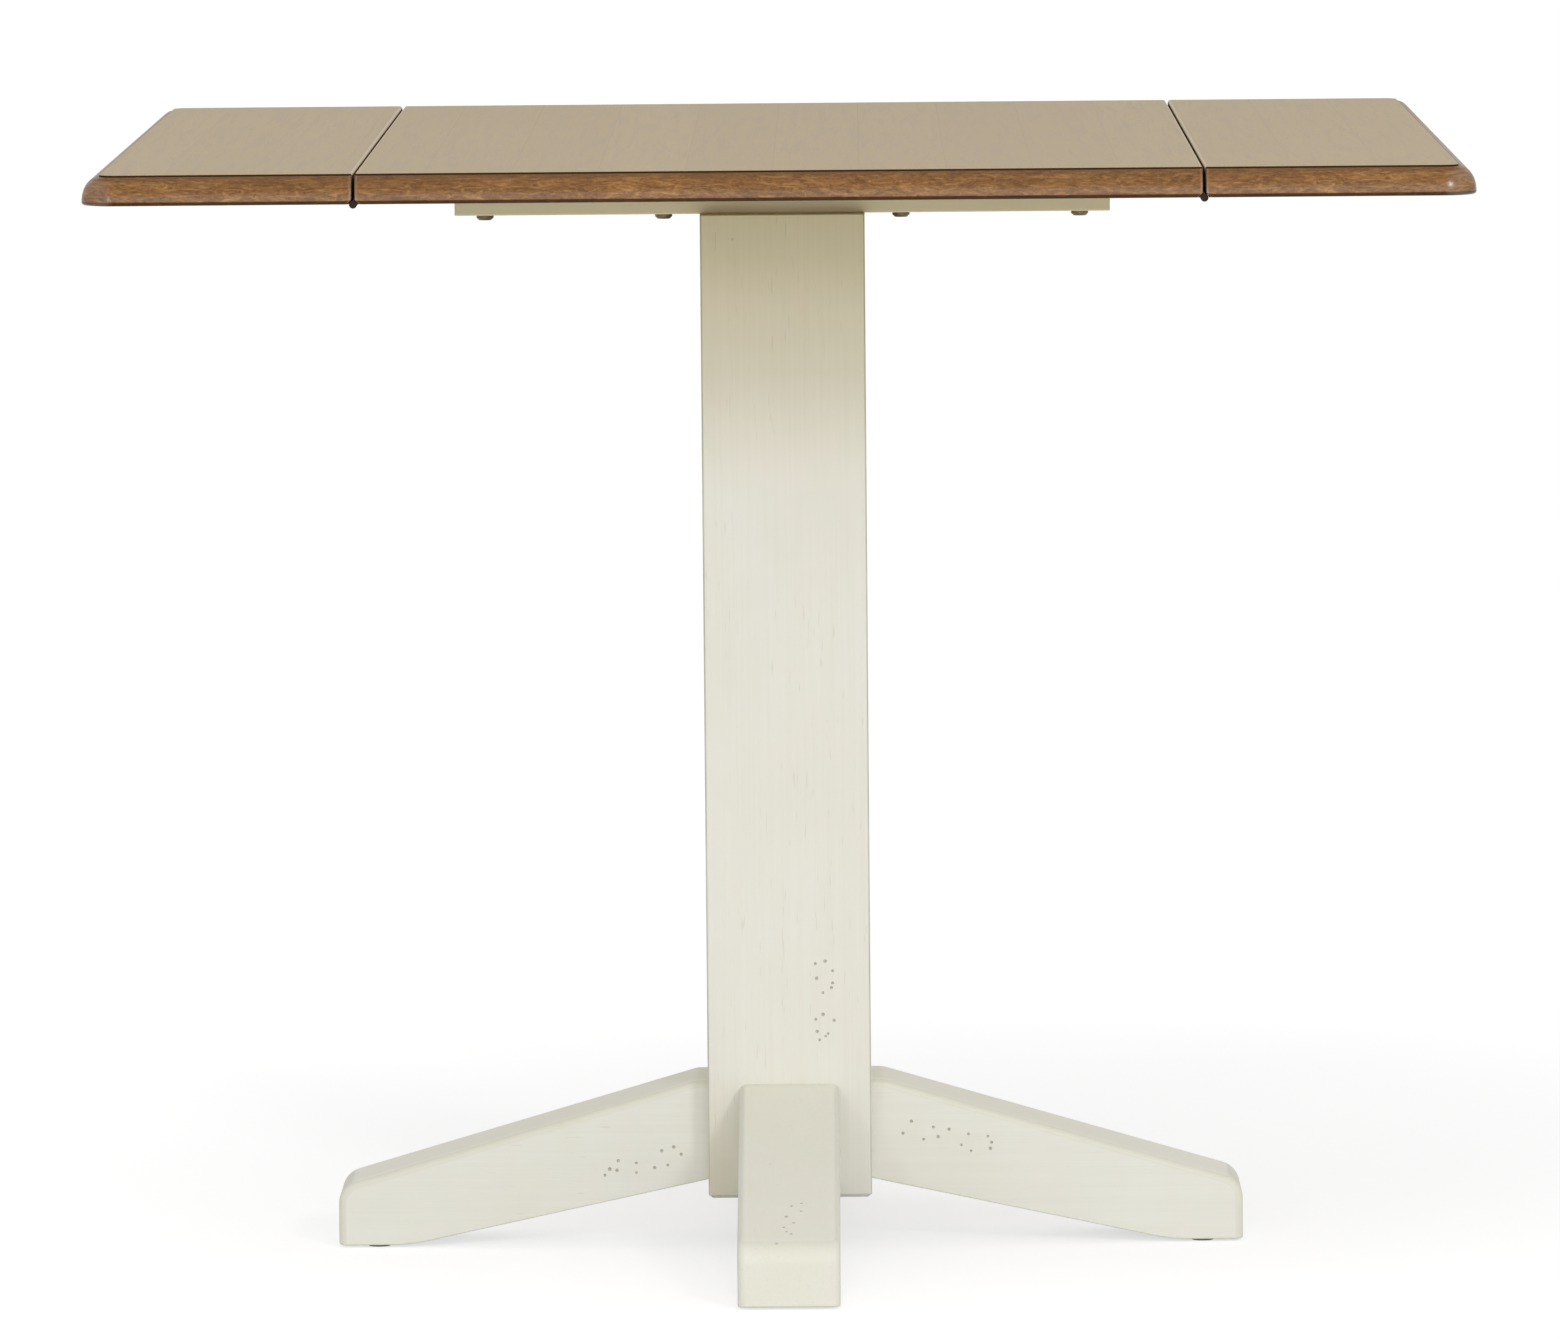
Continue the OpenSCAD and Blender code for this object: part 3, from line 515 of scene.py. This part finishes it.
# ---------------------------------------------------------------- paint, metal, plastic

# Turn of the texture that brings its grain, which runs along its X, to each axis.
GRAIN_TURN = {"X": (0, 0, 0), "Y": (0, 0, math.pi / 2), "Z": (0, math.pi / 2, 0)}


def cream_paint(name, grain_axis, seed, age_and_painted_light=None):
    """Brushed antique cream over wood, with grain along grain_axis ("X", "Y" or "Z").

    The last argument, a function of (s, here, colour), adds what is particular to a piece, its wear
    and its painted light and shade, and returns the new colour.
    """
    s = Shader(name)
    here = s.coord()
    along = s.node("Mapping", {"Vector": here, "Rotation": GRAIN_TURN[grain_axis],
                               "Location": (seed, 0, 0)}).outputs[0]
    patch = s.noise(s.stretch(here, (14, 14, 9), (seed, 0, 0)), detail=2)
    blush = s.noise(s.stretch(here, (26, 26, 18), (0, seed, 4)), detail=2)
    brush = s.noise(s.stretch(along, (5, 420, 420)), detail=3, rough=0.55)
    fibre = s.noise(s.stretch(along, (26, 900, 900)), detail=2)
    grain = s.noise(s.stretch(along, (42, 560, 560), (1, 2, 3)), detail=1)
    some = s.remap(s.noise(s.stretch(here, (9, 9, 9), (5, seed, 0)), detail=1), 0.45, 0.6)
    ticks = s.math("MULTIPLY", s.remap(grain, 0.69, 0.75), some)
    colour = s.mix(s.remap(patch, 0.35, 0.65), srgb(228, 228, 218), srgb(225, 225, 213))
    colour = s.mix(s.remap(blush, 0.45, 0.7, 0.0, 0.7), colour, srgb(229, 225, 216))
    colour = s.mix(s.remap(brush, 0.35, 0.7, 0.0, 0.22), colour, srgb(216, 213, 199))
    colour = s.mix(s.math("MULTIPLY", ticks, 0.22), colour, srgb(172, 166, 146))
    if age_and_painted_light:
        colour = age_and_painted_light(s, here, colour)
    colour = fly_specks(s, here, colour, 0.3)
    height = s.math("SUBTRACT", s.blend((0.6, brush), (0.4, fibre)), ticks)
    return s.finish(colour, s.remap(brush, 0.2, 0.8, 0.46, 0.60), height, 0.10 * MM, 0.8)


PAINTED_SHADE_LOW = 0.62            # height where the painted warm shade under the top begins
PAINTED_SHADE_HIGH = 0.86           # and where it is full


def warm_painted_shade(s, here, colour):
    """Painted shade under the top: a warm darkening of the paint from the cleat down."""
    painted_shade_amount = s.remap(s.split(here)[2], PAINTED_SHADE_LOW, PAINTED_SHADE_HIGH)
    return s.mix(painted_shade_amount, colour, (0.985, 0.90, 0.64, 1), "MULTIPLY")


def column_painted_shade_and_glaze(s, here, colour):
    """Painted warm shade to the top, glaze on the arrises, painted shadow by the front foot and under
    the cleat.
    """
    half, _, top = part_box("column_right_board")[1]
    colour = warm_painted_shade(s, here, s.mix(0.13, colour, srgb(205, 198, 180)))
    x, y, z = s.split(here)
    inner = s.math("MINIMUM", s.math("ABSOLUTE", x), s.math("ABSOLUTE", y))
    patchy = s.remap(s.noise(s.stretch(here, (60, 60, 14)), detail=2), 0.3, 0.6, 0.35, 0.8)
    arris = s.math("MULTIPLY", s.remap(inner, half - 1.5 * MM, half - 0.7 * MM), patchy)
    colour = s.mix(arris, colour, (0.36, 0.37, 0.30, 1), "MULTIPLY")
    # Painted shadow of the front foot, low on the column's left.
    low = s.math("MULTIPLY", s.remap(z, 0.15, 0.06, 0.0, 0.35), s.remap(x, -0.02, -0.06))
    colour = s.mix(low, colour, srgb(206, 190, 150))
    # Painted shadow line along the joint under the cleat, on the upright faces.
    upright = s.math("LESS_THAN", s.split(s.coord("Normal"))[2], 0.5)
    seam = s.math("MULTIPLY", s.remap(z, top - 0.8 * MM, top - 0.4 * MM, 0.0, 0.65), upright)
    return s.mix(seam, colour, srgb(118, 100, 66))


def ridge_painted_light_and_wear(glaze, flat_painted_light):
    """A foot's ridge: painted shade on its rounding, painted light on its upward flat, and rubbed
    spots of wear.
    """
    def age_and_painted_light(s, here, colour):
        rise = s.split(s.coord("Normal"))[2]
        # Painted shade on the rounding and painted light on the flat, by how far each face leans from
        # level.
        colour = s.mix(s.remap(rise, 0.86, 0.94, glaze, 0.0), colour, srgb(208, 207, 178))
        colour = s.mix(s.remap(rise, 0.86, 0.94, 0.0, flat_painted_light), colour, srgb(242, 241, 225))
        rub = s.noise(s.stretch(here, (150, 150, 150), (7, 3, 1)), detail=4, rough=0.65)
        return s.mix(s.remap(rub, 0.66, 0.78, 0.0, 0.3), colour, srgb(196, 186, 160))
    return age_and_painted_light


def painted_shade_copy(s, here, colour):
    """Painted shade: the paint a step darker all over, for the front and back feet."""
    return s.mix(0.35, colour, srgb(205, 204, 190))


def worm_hole_paint():
    """Grey-brown glaze caught in the worm holes."""
    s = Shader("worm_hole")
    dirt = s.noise(s.stretch(s.coord(), (900, 900, 900)), detail=2)
    colour = s.ramp(dirt, (0.3, srgb(158, 154, 138)), (0.7, srgb(204, 200, 184)))
    return s.finish(colour, s.remap(dirt, 0.2, 0.8, 0.6, 0.8), dirt, 0.1 * MM, 0.6)


def metal(name, dark, light, roughness, metallic=1.0):
    """Plated steel with fine scuffs."""
    s = Shader(name)
    here = s.coord()
    cloud = s.noise(s.stretch(here, (90, 90, 90)), detail=4)
    scuff = s.noise(s.stretch(here, (400, 60, 900)), detail=3)
    s.set(Metallic=metallic)
    rough = s.remap(scuff, 0.3, 0.7, roughness - 0.07, roughness + 0.1)
    return s.finish(s.mix(cloud, dark, light), rough, scuff, 0.03 * MM, 0.5)


def glide_plastic():
    """Mottled grey plastic."""
    s = Shader("glide_plastic")
    mottle = s.noise(s.stretch(s.coord(), (600, 600, 600)), detail=3)
    colour = s.mix(mottle, srgb(112, 110, 104), srgb(146, 143, 136))
    return s.finish(colour, s.remap(mottle, 0.2, 0.8, 0.5, 0.7), mottle, 0.05 * MM, 0.6)


# ---------------------------------------------------------------- mesh helpers

def new_piece(name, bm, materials, smooth_angle):
    """Object from a bmesh in the row frame; faces keep their material index."""
    bm.normal_update()
    mesh = bpy.data.meshes.new(name)
    bm.to_mesh(mesh)
    bm.free()
    for material in materials:
        mesh.materials.append(material)
    mesh.shade_smooth()
    mesh.set_sharp_from_angle(angle=math.radians(smooth_angle))
    piece = bpy.data.objects.new(name, mesh)
    bpy.context.scene.collection.objects.link(piece)
    return piece


def level_normals(piece):
    """Keeps broad flat faces flat in shading where they meet a rounding."""
    modifier = piece.modifiers.new("level", "WEIGHTED_NORMAL")
    modifier.keep_sharp = True
    modifier.weight = 100


def apply_modifiers(piece):
    """Bakes the piece's modifiers into its mesh."""
    graph = bpy.context.evaluated_depsgraph_get()
    mesh = bpy.data.meshes.new_from_object(piece.evaluated_get(graph), depsgraph=graph)
    piece.modifiers.clear()
    piece.data = mesh


def cut_away(piece, cutter):
    """Boolean difference of a cutter bmesh from the piece; cut faces take the cutter's slots."""
    mesh = bpy.data.meshes.new("cutter")
    cutter.normal_update()
    cutter.to_mesh(mesh)
    cutter.free()
    for material in piece.data.materials:
        mesh.materials.append(material)
    tool = bpy.data.objects.new("cutter", mesh)
    bpy.context.scene.collection.objects.link(tool)
    modifier = piece.modifiers.new("cut", "BOOLEAN")
    modifier.operation = "DIFFERENCE"
    modifier.solver = "EXACT"
    modifier.object = tool
    apply_modifiers(piece)
    bpy.data.objects.remove(tool)


def add_box(bm, low, high, slot):
    """A box between two corners, with its faces in a material slot."""
    made = bmesh.ops.create_cube(bm, size=1)["verts"]
    low, high = Vector(low), Vector(high)
    for v in made:
        v.co = (low + high) / 2 + Vector(a * b for a, b in zip(v.co, high - low))
    for face in {f for v in made for f in v.link_faces}:
        face.material_index = slot


def loft(bm, rows, slots):
    """Quads between closed rows of vertices. slots[i] is the material of the strip after point i."""
    count = len(rows[0])
    for low, high in zip(rows, rows[1:]):
        for i in range(count):
            j = (i + 1) % count
            bm.faces.new((low[i], low[j], high[j], high[i])).material_index = slots[i]


def turn_all(bm, degrees):
    """Turns the whole bmesh about the vertical axis."""
    turning = Matrix.Rotation(math.radians(degrees), 3, "Z")
    bmesh.ops.rotate(bm, verts=bm.verts, cent=(0, 0, 0), matrix=turning)


def place_piece(piece, body, node):
    """Puts a piece on its body in place of a CAD node."""
    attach(piece, body)
    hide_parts(node)


# Turn in degrees from the right side, where each board and foot is laid out, to its own.
SIDES = {"right": 0, "back": 90, "left": 180, "front": 270}


def quarter(radius, steps):
    """(drop, inset) along a quarter round, from the side face to the face above it."""
    angles = [math.pi / 2 * i / steps for i in range(steps + 1)]
    return [(radius * (1 - math.cos(a)), radius * (1 - math.sin(a))) for a in angles]


# ---------------------------------------------------------------- top panels

NOSE_RUN = 14 * MM          # reach of the moulding from the flat field
NOSE_STEP = 1.5 * MM        # small step from the field down to the moulding
FIELD_EASE = 0.5 * MM       # softened arris of the flat field
UNDER_R = 2.5 * MM          # radius under the moulding
JOINT_ROUND = 2 * MM        # upper arris along a joint
JOINT_CHAMFER = 4 * MM      # lower arris along a joint
END_ROUND = 1.3 * MM        # upright arris between the moulding and a joint
CORNER_R = 12 * MM          # corner radius of the flat field
CORNER_STEPS = 14           # steps of the corner's quarter turn
END_STEPS = 4               # steps of an upright arris
PLATE_T = 1.2 * MM          # thickness of a hinge plate
SEAT_CLEAR = 0.4 * MM       # room round a hinge plate in its seat
FIELD, NOSE, UNDER = 0, 1, 2


def round_inset(over, radius):
    """Inset of a rounded arris at the height over below which the radius starts."""
    return radius - math.sqrt(max(0, radius ** 2 - over ** 2)) if over > 0 else 0


def panel_levels(thick):
    """Rising levels of a panel as (height, inset of a nosed side, inset of a joint side)."""
    rise = thick - NOSE_STEP - UNDER_R

    def nose_inset(z):
        if z < UNDER_R:
            return round_inset(UNDER_R - z, UNDER_R)
        if z > UNDER_R + rise:
            return NOSE_RUN + round_inset(z - (thick - FIELD_EASE), FIELD_EASE)
        return NOSE_RUN * (1 - math.sqrt(max(0, 1 - ((z - UNDER_R) / rise) ** 2)))

    def joint_inset(z):
        return max(0, JOINT_CHAMFER - z) + round_inset(z - (thick - JOINT_ROUND), JOINT_ROUND)

    turns = [math.radians(a) for a in range(0, 91, 5)]
    heights = [UNDER_R * (1 - math.cos(a)) for a in turns[::3]]
    heights += [UNDER_R + rise * math.sin(a) for a in turns] + [JOINT_CHAMFER]
    heights += [thick - JOINT_ROUND * (1 - math.sin(a)) for a in turns[::3]]
    heights += [thick - FIELD_EASE * (1 - math.sin(a)) for a in turns[::6]]
    return [(z, nose_inset(z), joint_inset(z)) for z in sorted({round(h, 7) for h in heights})]


def level_downs(levels):
    """Distance of each level down the moulding, from the flat field."""
    downs = [0]
    for low, high in zip(levels[-2::-1], levels[::-1]):
        downs.append(downs[-1] + math.dist(low[:2], high[:2]))
    return downs[::-1]


def panel_outline(width, depth, nose, joint, both_joints):
    """Points (u, y, slot) round a panel at one level, u from its joint side. They start at the
    joint side and run along the front. A slot is that of the strip after the point.
    """
    y = depth / 2 - nose
    turn = [math.pi / 2 * i / END_STEPS for i in range(END_STEPS + 1)]
    start = [(joint + END_ROUND * (1 - math.cos(a)), -y + END_ROUND * (1 - math.sin(a)), NOSE)
             for a in turn]
    end = [(u, -v, NOSE) for u, v, _ in start[::-1]]
    if both_joints:
        far_end = [(width - u, v, slot) for u, v, slot in start[::-1]]
        far_start = [(width - u, v, slot) for u, v, slot in end[::-1]]
        far_end[-1] = far_end[-1][:2] + (UNDER,)
        far = far_end + far_start
    else:
        radius = CORNER_R + NOSE_RUN - nose
        cu, cy = width - CORNER_R - NOSE_RUN, depth / 2 - CORNER_R - NOSE_RUN
        arc = [math.pi / 2 * i / CORNER_STEPS for i in range(CORNER_STEPS + 1)]
        far = [(cu + radius * math.sin(a), -cy - radius * math.cos(a), NOSE) for a in arc]
        far += [(cu + radius * math.cos(a), cy + radius * math.sin(a), NOSE) for a in arc]
    end[-1] = end[-1][:2] + (UNDER,)
    return start + far + end


def outline_runs(outline):
    """Distance of each point round the panel, with the whole way round as the last."""
    runs = [0]
    for a, b in zip(outline, outline[1:] + outline[:1]):
        runs.append(runs[-1] + math.dist(a[:2], b[:2]))
    return runs


def build_panel(name, x_in, x_out, depth, z0, thick, both_joints, materials):
    """Panel lofted from its levels, with a UV map in metres on the moulded edge."""
    bm = bmesh.new()
    uv = bm.loops.layers.uv.new("edge")
    way = 1 if x_out > x_in else -1
    width = abs(x_out - x_in)
    levels = panel_levels(thick)
    rows = []
    for z, nose, joint in levels:
        outline = panel_outline(width, depth, nose, joint, both_joints)
        rows.append([bm.verts.new((x_in + way * u, y, z0 + z)) for u, y, _ in outline])
    downs = level_downs(levels)
    outline = panel_outline(width, depth, 0, 0, both_joints)
    runs = outline_runs(outline)
    count = len(outline)
    for k in range(len(levels) - 1):
        rounded = levels[k][0] >= thick - JOINT_ROUND - 1e-6
        for i in range(count):
            j = (i + 1) % count
            corners = [(rows[k][i], runs[i], downs[k]), (rows[k][j], runs[i + 1], downs[k]),
                       (rows[k + 1][j], runs[i + 1], downs[k + 1]),
                       (rows[k + 1][i], runs[i], downs[k + 1])][::way]
            face = bm.faces.new([c[0] for c in corners])
            slot = outline[i][2]
            face.material_index = FIELD if slot == UNDER and rounded else slot
            for loop, corner in zip(face.loops, corners):
                loop[uv].uv = corner[1:]
    bm.faces.new(rows[-1][::way]).material_index = FIELD
    bm.faces.new(rows[0][::-way]).material_index = UNDER
    return new_piece(name, bm, materials, smooth_angle=40)


def seat_cutter(plate, ceiling):
    """Box that lets a hinge plate into the underside up to ceiling, from the plate's CAD box."""
    low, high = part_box(plate)
    past_underside = 5 * MM
    bm = bmesh.new()
    add_box(bm, (low[0] - SEAT_CLEAR, low[1] - SEAT_CLEAR, low[2] - past_underside),
            (high[0] + SEAT_CLEAR, high[1] + SEAT_CLEAR, ceiling), UNDER)
    return bm


def make_top():
    """Middle panel and leaves, each with seats for the hinge plates."""
    low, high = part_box("centre_top")
    depth, thick = high[1] - low[1], high[2] - low[2]
    length = level_downs(panel_levels(thick))[0]
    materials = [stained_field(), brown_nose(length), brown_underside()]
    ceiling = low[2] + PLATE_T
    centre = build_panel("centre_panel", low[0], high[0], depth, low[2], thick, True, materials)
    for side in ("left", "right"):
        cut_away(centre, seat_cutter(side + "_hinge_fixed_plate", ceiling))
    level_normals(centre)
    place_piece(centre, "root", "centre_top")
    for side in ("left", "right"):
        a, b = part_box(side + "_leaf")
        inner, outer = (a[0], b[0]) if side == "right" else (b[0], a[0])
        leaf = build_panel(side + "_leaf_panel", inner, outer, depth, a[2], thick, False, materials)
        cut_away(leaf, seat_cutter(side + "_hinge_leaf_plate", ceiling))
        level_normals(leaf)
        place_piece(leaf, side + "_leaf", side + "_leaf")


# ---------------------------------------------------------------- column

COLUMN_ROUND = 2.5 * MM
COLUMN_CHAMFER = 3 * MM     # at the foot of the column
COLUMN_STEPS = 6            # steps of half an arris, up to the mitre
HOLE_RADIUS = (1.1, 1.6)    # least and most, in millimetres
HOLE_DEPTH = (0.55, 0.9)
# Worm holes of the column's front face, as (across, height) in millimetres.
COLUMN_HOLES = [(22, 237), (30, 239), (36, 231), (23, 225), (36, 221), (35, 217), (28, 213),
                (28, 195), (22, 191), (37, 190), (23, 181), (30, 177), (25, 174), (32, 179)]


def make_column(paint, hole):
    """Four mitred boards with softened arrises; the front one carries worm holes."""
    low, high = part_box("column_right_board")
    half, wall = high[0], high[0] - low[0]
    for side, turn in SIDES.items():
        bm = bmesh.new()
        arc = [math.pi / 4 * i / COLUMN_STEPS for i in range(COLUMN_STEPS + 1)]
        middle = half - COLUMN_ROUND
        ring = [(middle + COLUMN_ROUND * math.cos(a), middle + COLUMN_ROUND * math.sin(a))
                for a in arc]
        outer = [(x, -y) for x, y in ring[::-1]] + ring
        inner = [(half - wall, half - wall), (half - wall, wall - half)]
        rows = []
        for z, inset in ((low[2], COLUMN_CHAMFER), (low[2] + COLUMN_CHAMFER, 0), (high[2], 0)):
            shrink = (half - inset) / half
            outline = [(x * shrink, y * shrink) for x, y in outer] + inner
            rows.append([bm.verts.new((x, y, z)) for x, y in outline])
        loft(bm, rows, [0] * len(rows[0]))
        bm.faces.new(rows[0][::-1])
        bm.faces.new(rows[-1])
        turn_all(bm, turn)
        board = new_piece(f"column_{side}", bm, [paint, hole], smooth_angle=32)
        if side == "front":
            places = [Vector((x * MM, -half, z * MM)) for x, z in COLUMN_HOLES]
            cut_worm_holes(board, places, Vector((0, -1, 0)))
        level_normals(board)
        place_piece(board, "root", f"column_{side}_board")


def cut_worm_holes(piece, places, out):
    """Shallow dimples sunk in a face whose outward normal is out."""
    rng = random.Random(len(places))
    bm = bmesh.new()
    for place in places:
        opening = rng.uniform(*HOLE_RADIUS) * MM
        depth = rng.uniform(*HOLE_DEPTH) * MM
        radius = (opening ** 2 + depth ** 2) / (2 * depth)
        centre = place + out * (radius - depth)
        made = bmesh.ops.create_icosphere(bm, subdivisions=3, radius=radius)["verts"]
        for v in made:
            v.co += centre
        for face in {f for v in made for f in v.link_faces}:
            face.material_index = 1
    cut_away(piece, bm)


# ---------------------------------------------------------------- feet

# A foot from the side, in millimetres from the column's middle and the floor.
FOOT = {"level": 9.5, "top": 137.5, "bottom": 55.0, "fall": 16.3, "pad": 59.0, "crest_r": 16.0,
        "nose_r": 20.0, "heel_r": 1.6, "bend_r": 150.0, "round": 6.35, "under_round": 1.2}


def round_corner(p, v, q, radius, steps):
    """Arc points that round corner v between p and q."""
    p, v, q = Vector(p), Vector(v), Vector(q)
    a, b = (p - v).normalized(), (q - v).normalized()
    half = math.acos(a.dot(b)) / 2
    centre = v + (a + b).normalized() * radius / math.sin(half)
    start = v + a * radius / math.tan(half) - centre
    end = v + b * radius / math.tan(half) - centre
    a1 = math.atan2(start.y, start.x)
    sweep = (math.atan2(end.y, end.x) - a1 + math.pi) % (2 * math.pi) - math.pi
    turns = [a1 + sweep * i / steps for i in range(steps + 1)]
    return [centre + radius * Vector((math.cos(a), math.sin(a))) for a in turns]


def foot_outline(root, reach, floor, inset, lift):
    """Ridge and belly of a foot from the side, the ridge set in by inset, the belly by lift."""
    f = FOOT
    fall = math.radians(f["fall"])
    top = f["top"] - inset
    bend_x = root + f["level"] - inset * math.tan(fall / 2)
    tip = (reach - inset, top - (reach - inset - bend_x) * math.tan(fall))
    heel = (reach - inset, floor + lift)
    bend = (reach - f["pad"], floor + lift)
    ridge = [Vector((root, top))]
    ridge += round_corner(ridge[0], (bend_x, top), tip, f["crest_r"], steps=4)
    ridge += round_corner((bend_x, top), tip, heel, f["nose_r"] - inset, steps=14)
    belly = round_corner(bend, heel, tip, f["heel_r"], steps=3)[::-1]
    end = Vector((root, f["bottom"] + lift))
    belly += round_corner(heel, bend, end, f["bend_r"], steps=8)
    return ridge, belly + [end]


def make_feet(paints, ridges, hole):
    """Feet lofted across their width, with a routed rounding along ridge and toe."""
    low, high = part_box("foot_right")
    root, reach, floor, half = (v / MM for v in (low[0], high[0], low[2], high[1]))
    for side, turn in SIDES.items():
        bm = bmesh.new()
        rows = []
        for drop, inset in quarter(FOOT["round"], steps=8):
            lift = round_inset(FOOT["under_round"] - drop, FOOT["under_round"])
            ridge, belly = foot_outline(root, reach, floor, inset, lift)
            rows.append([(p.x, -half + drop, p.y) for p in ridge + belly])
        rows += [[(x, -y, z) for x, y, z in row] for row in rows[::-1]]
        rows = [[bm.verts.new((x * MM, y * MM, z * MM)) for x, y, z in row] for row in rows]
        loft(bm, rows, [2] * (len(ridge) + 1) + [0] * (len(belly) - 1))
        bm.faces.new(rows[0][::-1])
        bm.faces.new(rows[-1])
        bmesh.ops.recalc_face_normals(bm, faces=bm.faces)
        turn_all(bm, turn)
        axis = "X" if side in ("left", "right") else "Y"
        materials = [paints[axis], hole, ridges[axis]]
        foot = new_piece(f"{side}_foot", bm, materials, smooth_angle=40)
        cut_foot_holes(foot, side, half)
        level_normals(foot)
        place_piece(foot, "root", "foot_" + side)


# Worm holes of each side foot's front face, as (out from the column's middle, height).
SIDE_FOOT_HOLES = {
    "left": [(90, 76), (96, 82), (106, 79), (101, 67), (112, 65), (127, 69), (127, 61), (142, 71),
             (149, 64), (143, 63), (153, 59)],
    "right": [(93, 92), (100, 102), (110, 87), (118, 97), (122, 89), (131, 95), (141, 82), (147, 91),
              (149, 77), (163, 89), (166, 84), (165, 79)]}
# Worm holes of the front foot's upper face, as (across, out from the column's middle).
FRONT_FOOT_HOLES = [(2, 300), (10, 295), (10, 309), (-2, 319), (4, 330), (-4, 338), (-2, 346),
                    (2, 350)]


def cut_foot_holes(foot, side, half):
    """Worm holes of the left, right and front feet; the back foot has none."""
    if side in SIDE_FOOT_HOLES:
        way = 1 if side == "right" else -1
        places = [Vector((way * x * MM, -half * MM, z * MM)) for x, z in SIDE_FOOT_HOLES[side]]
        cut_worm_holes(foot, places, Vector((0, -1, 0)))
    if side == "front":
        fall = math.radians(FOOT["fall"])
        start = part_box("column_right_board")[1][0] / MM + FOOT["level"]
        places = [Vector((x * MM, -y * MM, (FOOT["top"] - (y - start) * math.tan(fall)) * MM))
                  for x, y in FRONT_FOOT_HOLES]
        cut_worm_holes(foot, places, Vector((0, -math.sin(fall), math.cos(fall))))


# ---------------------------------------------------------------- carried-over nodes

def dress(name, material, ease=0.0):
    """Gives a CAD node a material, with its sharp edges eased if asked."""
    node = NODES[name]
    node.data.materials.clear()
    node.data.materials.append(material)
    if ease:
        weld = node.modifiers.new("weld", "WELD")
        weld.merge_threshold = 0.01 * MM
        bevel = node.modifiers.new("ease", "BEVEL")
        bevel.width = ease
        bevel.segments = 2
        bevel.limit_method = "ANGLE"
        bevel.angle_limit = math.radians(50)


def dress_nodes(cleat_paint):
    """Materials for the CAD nodes. Those that a piece replaces get one too, though hidden."""
    bronze = metal("bronze", srgb(24, 17, 12), srgb(50, 38, 28), 0.42, 0.85)
    bolt_bronze = metal("bolt_bronze", srgb(84, 70, 56), srgb(136, 118, 98), 0.40, 0.85)
    zinc = metal("zinc", srgb(150, 148, 140), srgb(190, 188, 180), 0.36)
    beech = raw_beech()
    glide = glide_plastic()
    for name in NODES:
        if "hinge" in name:
            dress(name, bronze)
        elif name == "top_bolts":
            dress(name, bolt_bronze)
        elif name in ("foot_dowels", "column_top_block"):
            dress(name, beech)
        elif name == "foot_glides":
            dress(name, glide)
        elif name == "top_cleat":
            dress(name, cleat_paint, 1.2 * MM)
        elif name.endswith(("_arm", "_bracket")):
            dress(name, zinc, 0.4 * MM)
        else:
            dress(name, zinc)


# ---------------------------------------------------------------- assembly

def make_table():
    """All the materials and pieces."""
    # cream_Y is a darker painted-shade copy of the paint, for the front and back feet.
    paints = {"X": cream_paint("cream_X", "X", 1), "Y": cream_paint("cream_Y", "Y", 2, painted_shade_copy)}
    # The ridges take painted shade on their roundings and painted light on their upward flats.
    ridges = {"X": cream_paint("cream_ridge_X", "X", 1, ridge_painted_light_and_wear(0.30, 0.85)),
              "Y": cream_paint("cream_ridge_Y", "Y", 2, ridge_painted_light_and_wear(0.15, 0.50))}
    hole = worm_hole_paint()
    # The cleat takes the warm painted shade under the top.
    dress_nodes(cream_paint("cream_cleat", "X", 4, warm_painted_shade))
    make_top()
    make_column(cream_paint("cream_column", "Z", 3, column_painted_shade_and_glaze), hole)
    make_feet(paints, ridges, hole)


make_studio()
make_table()
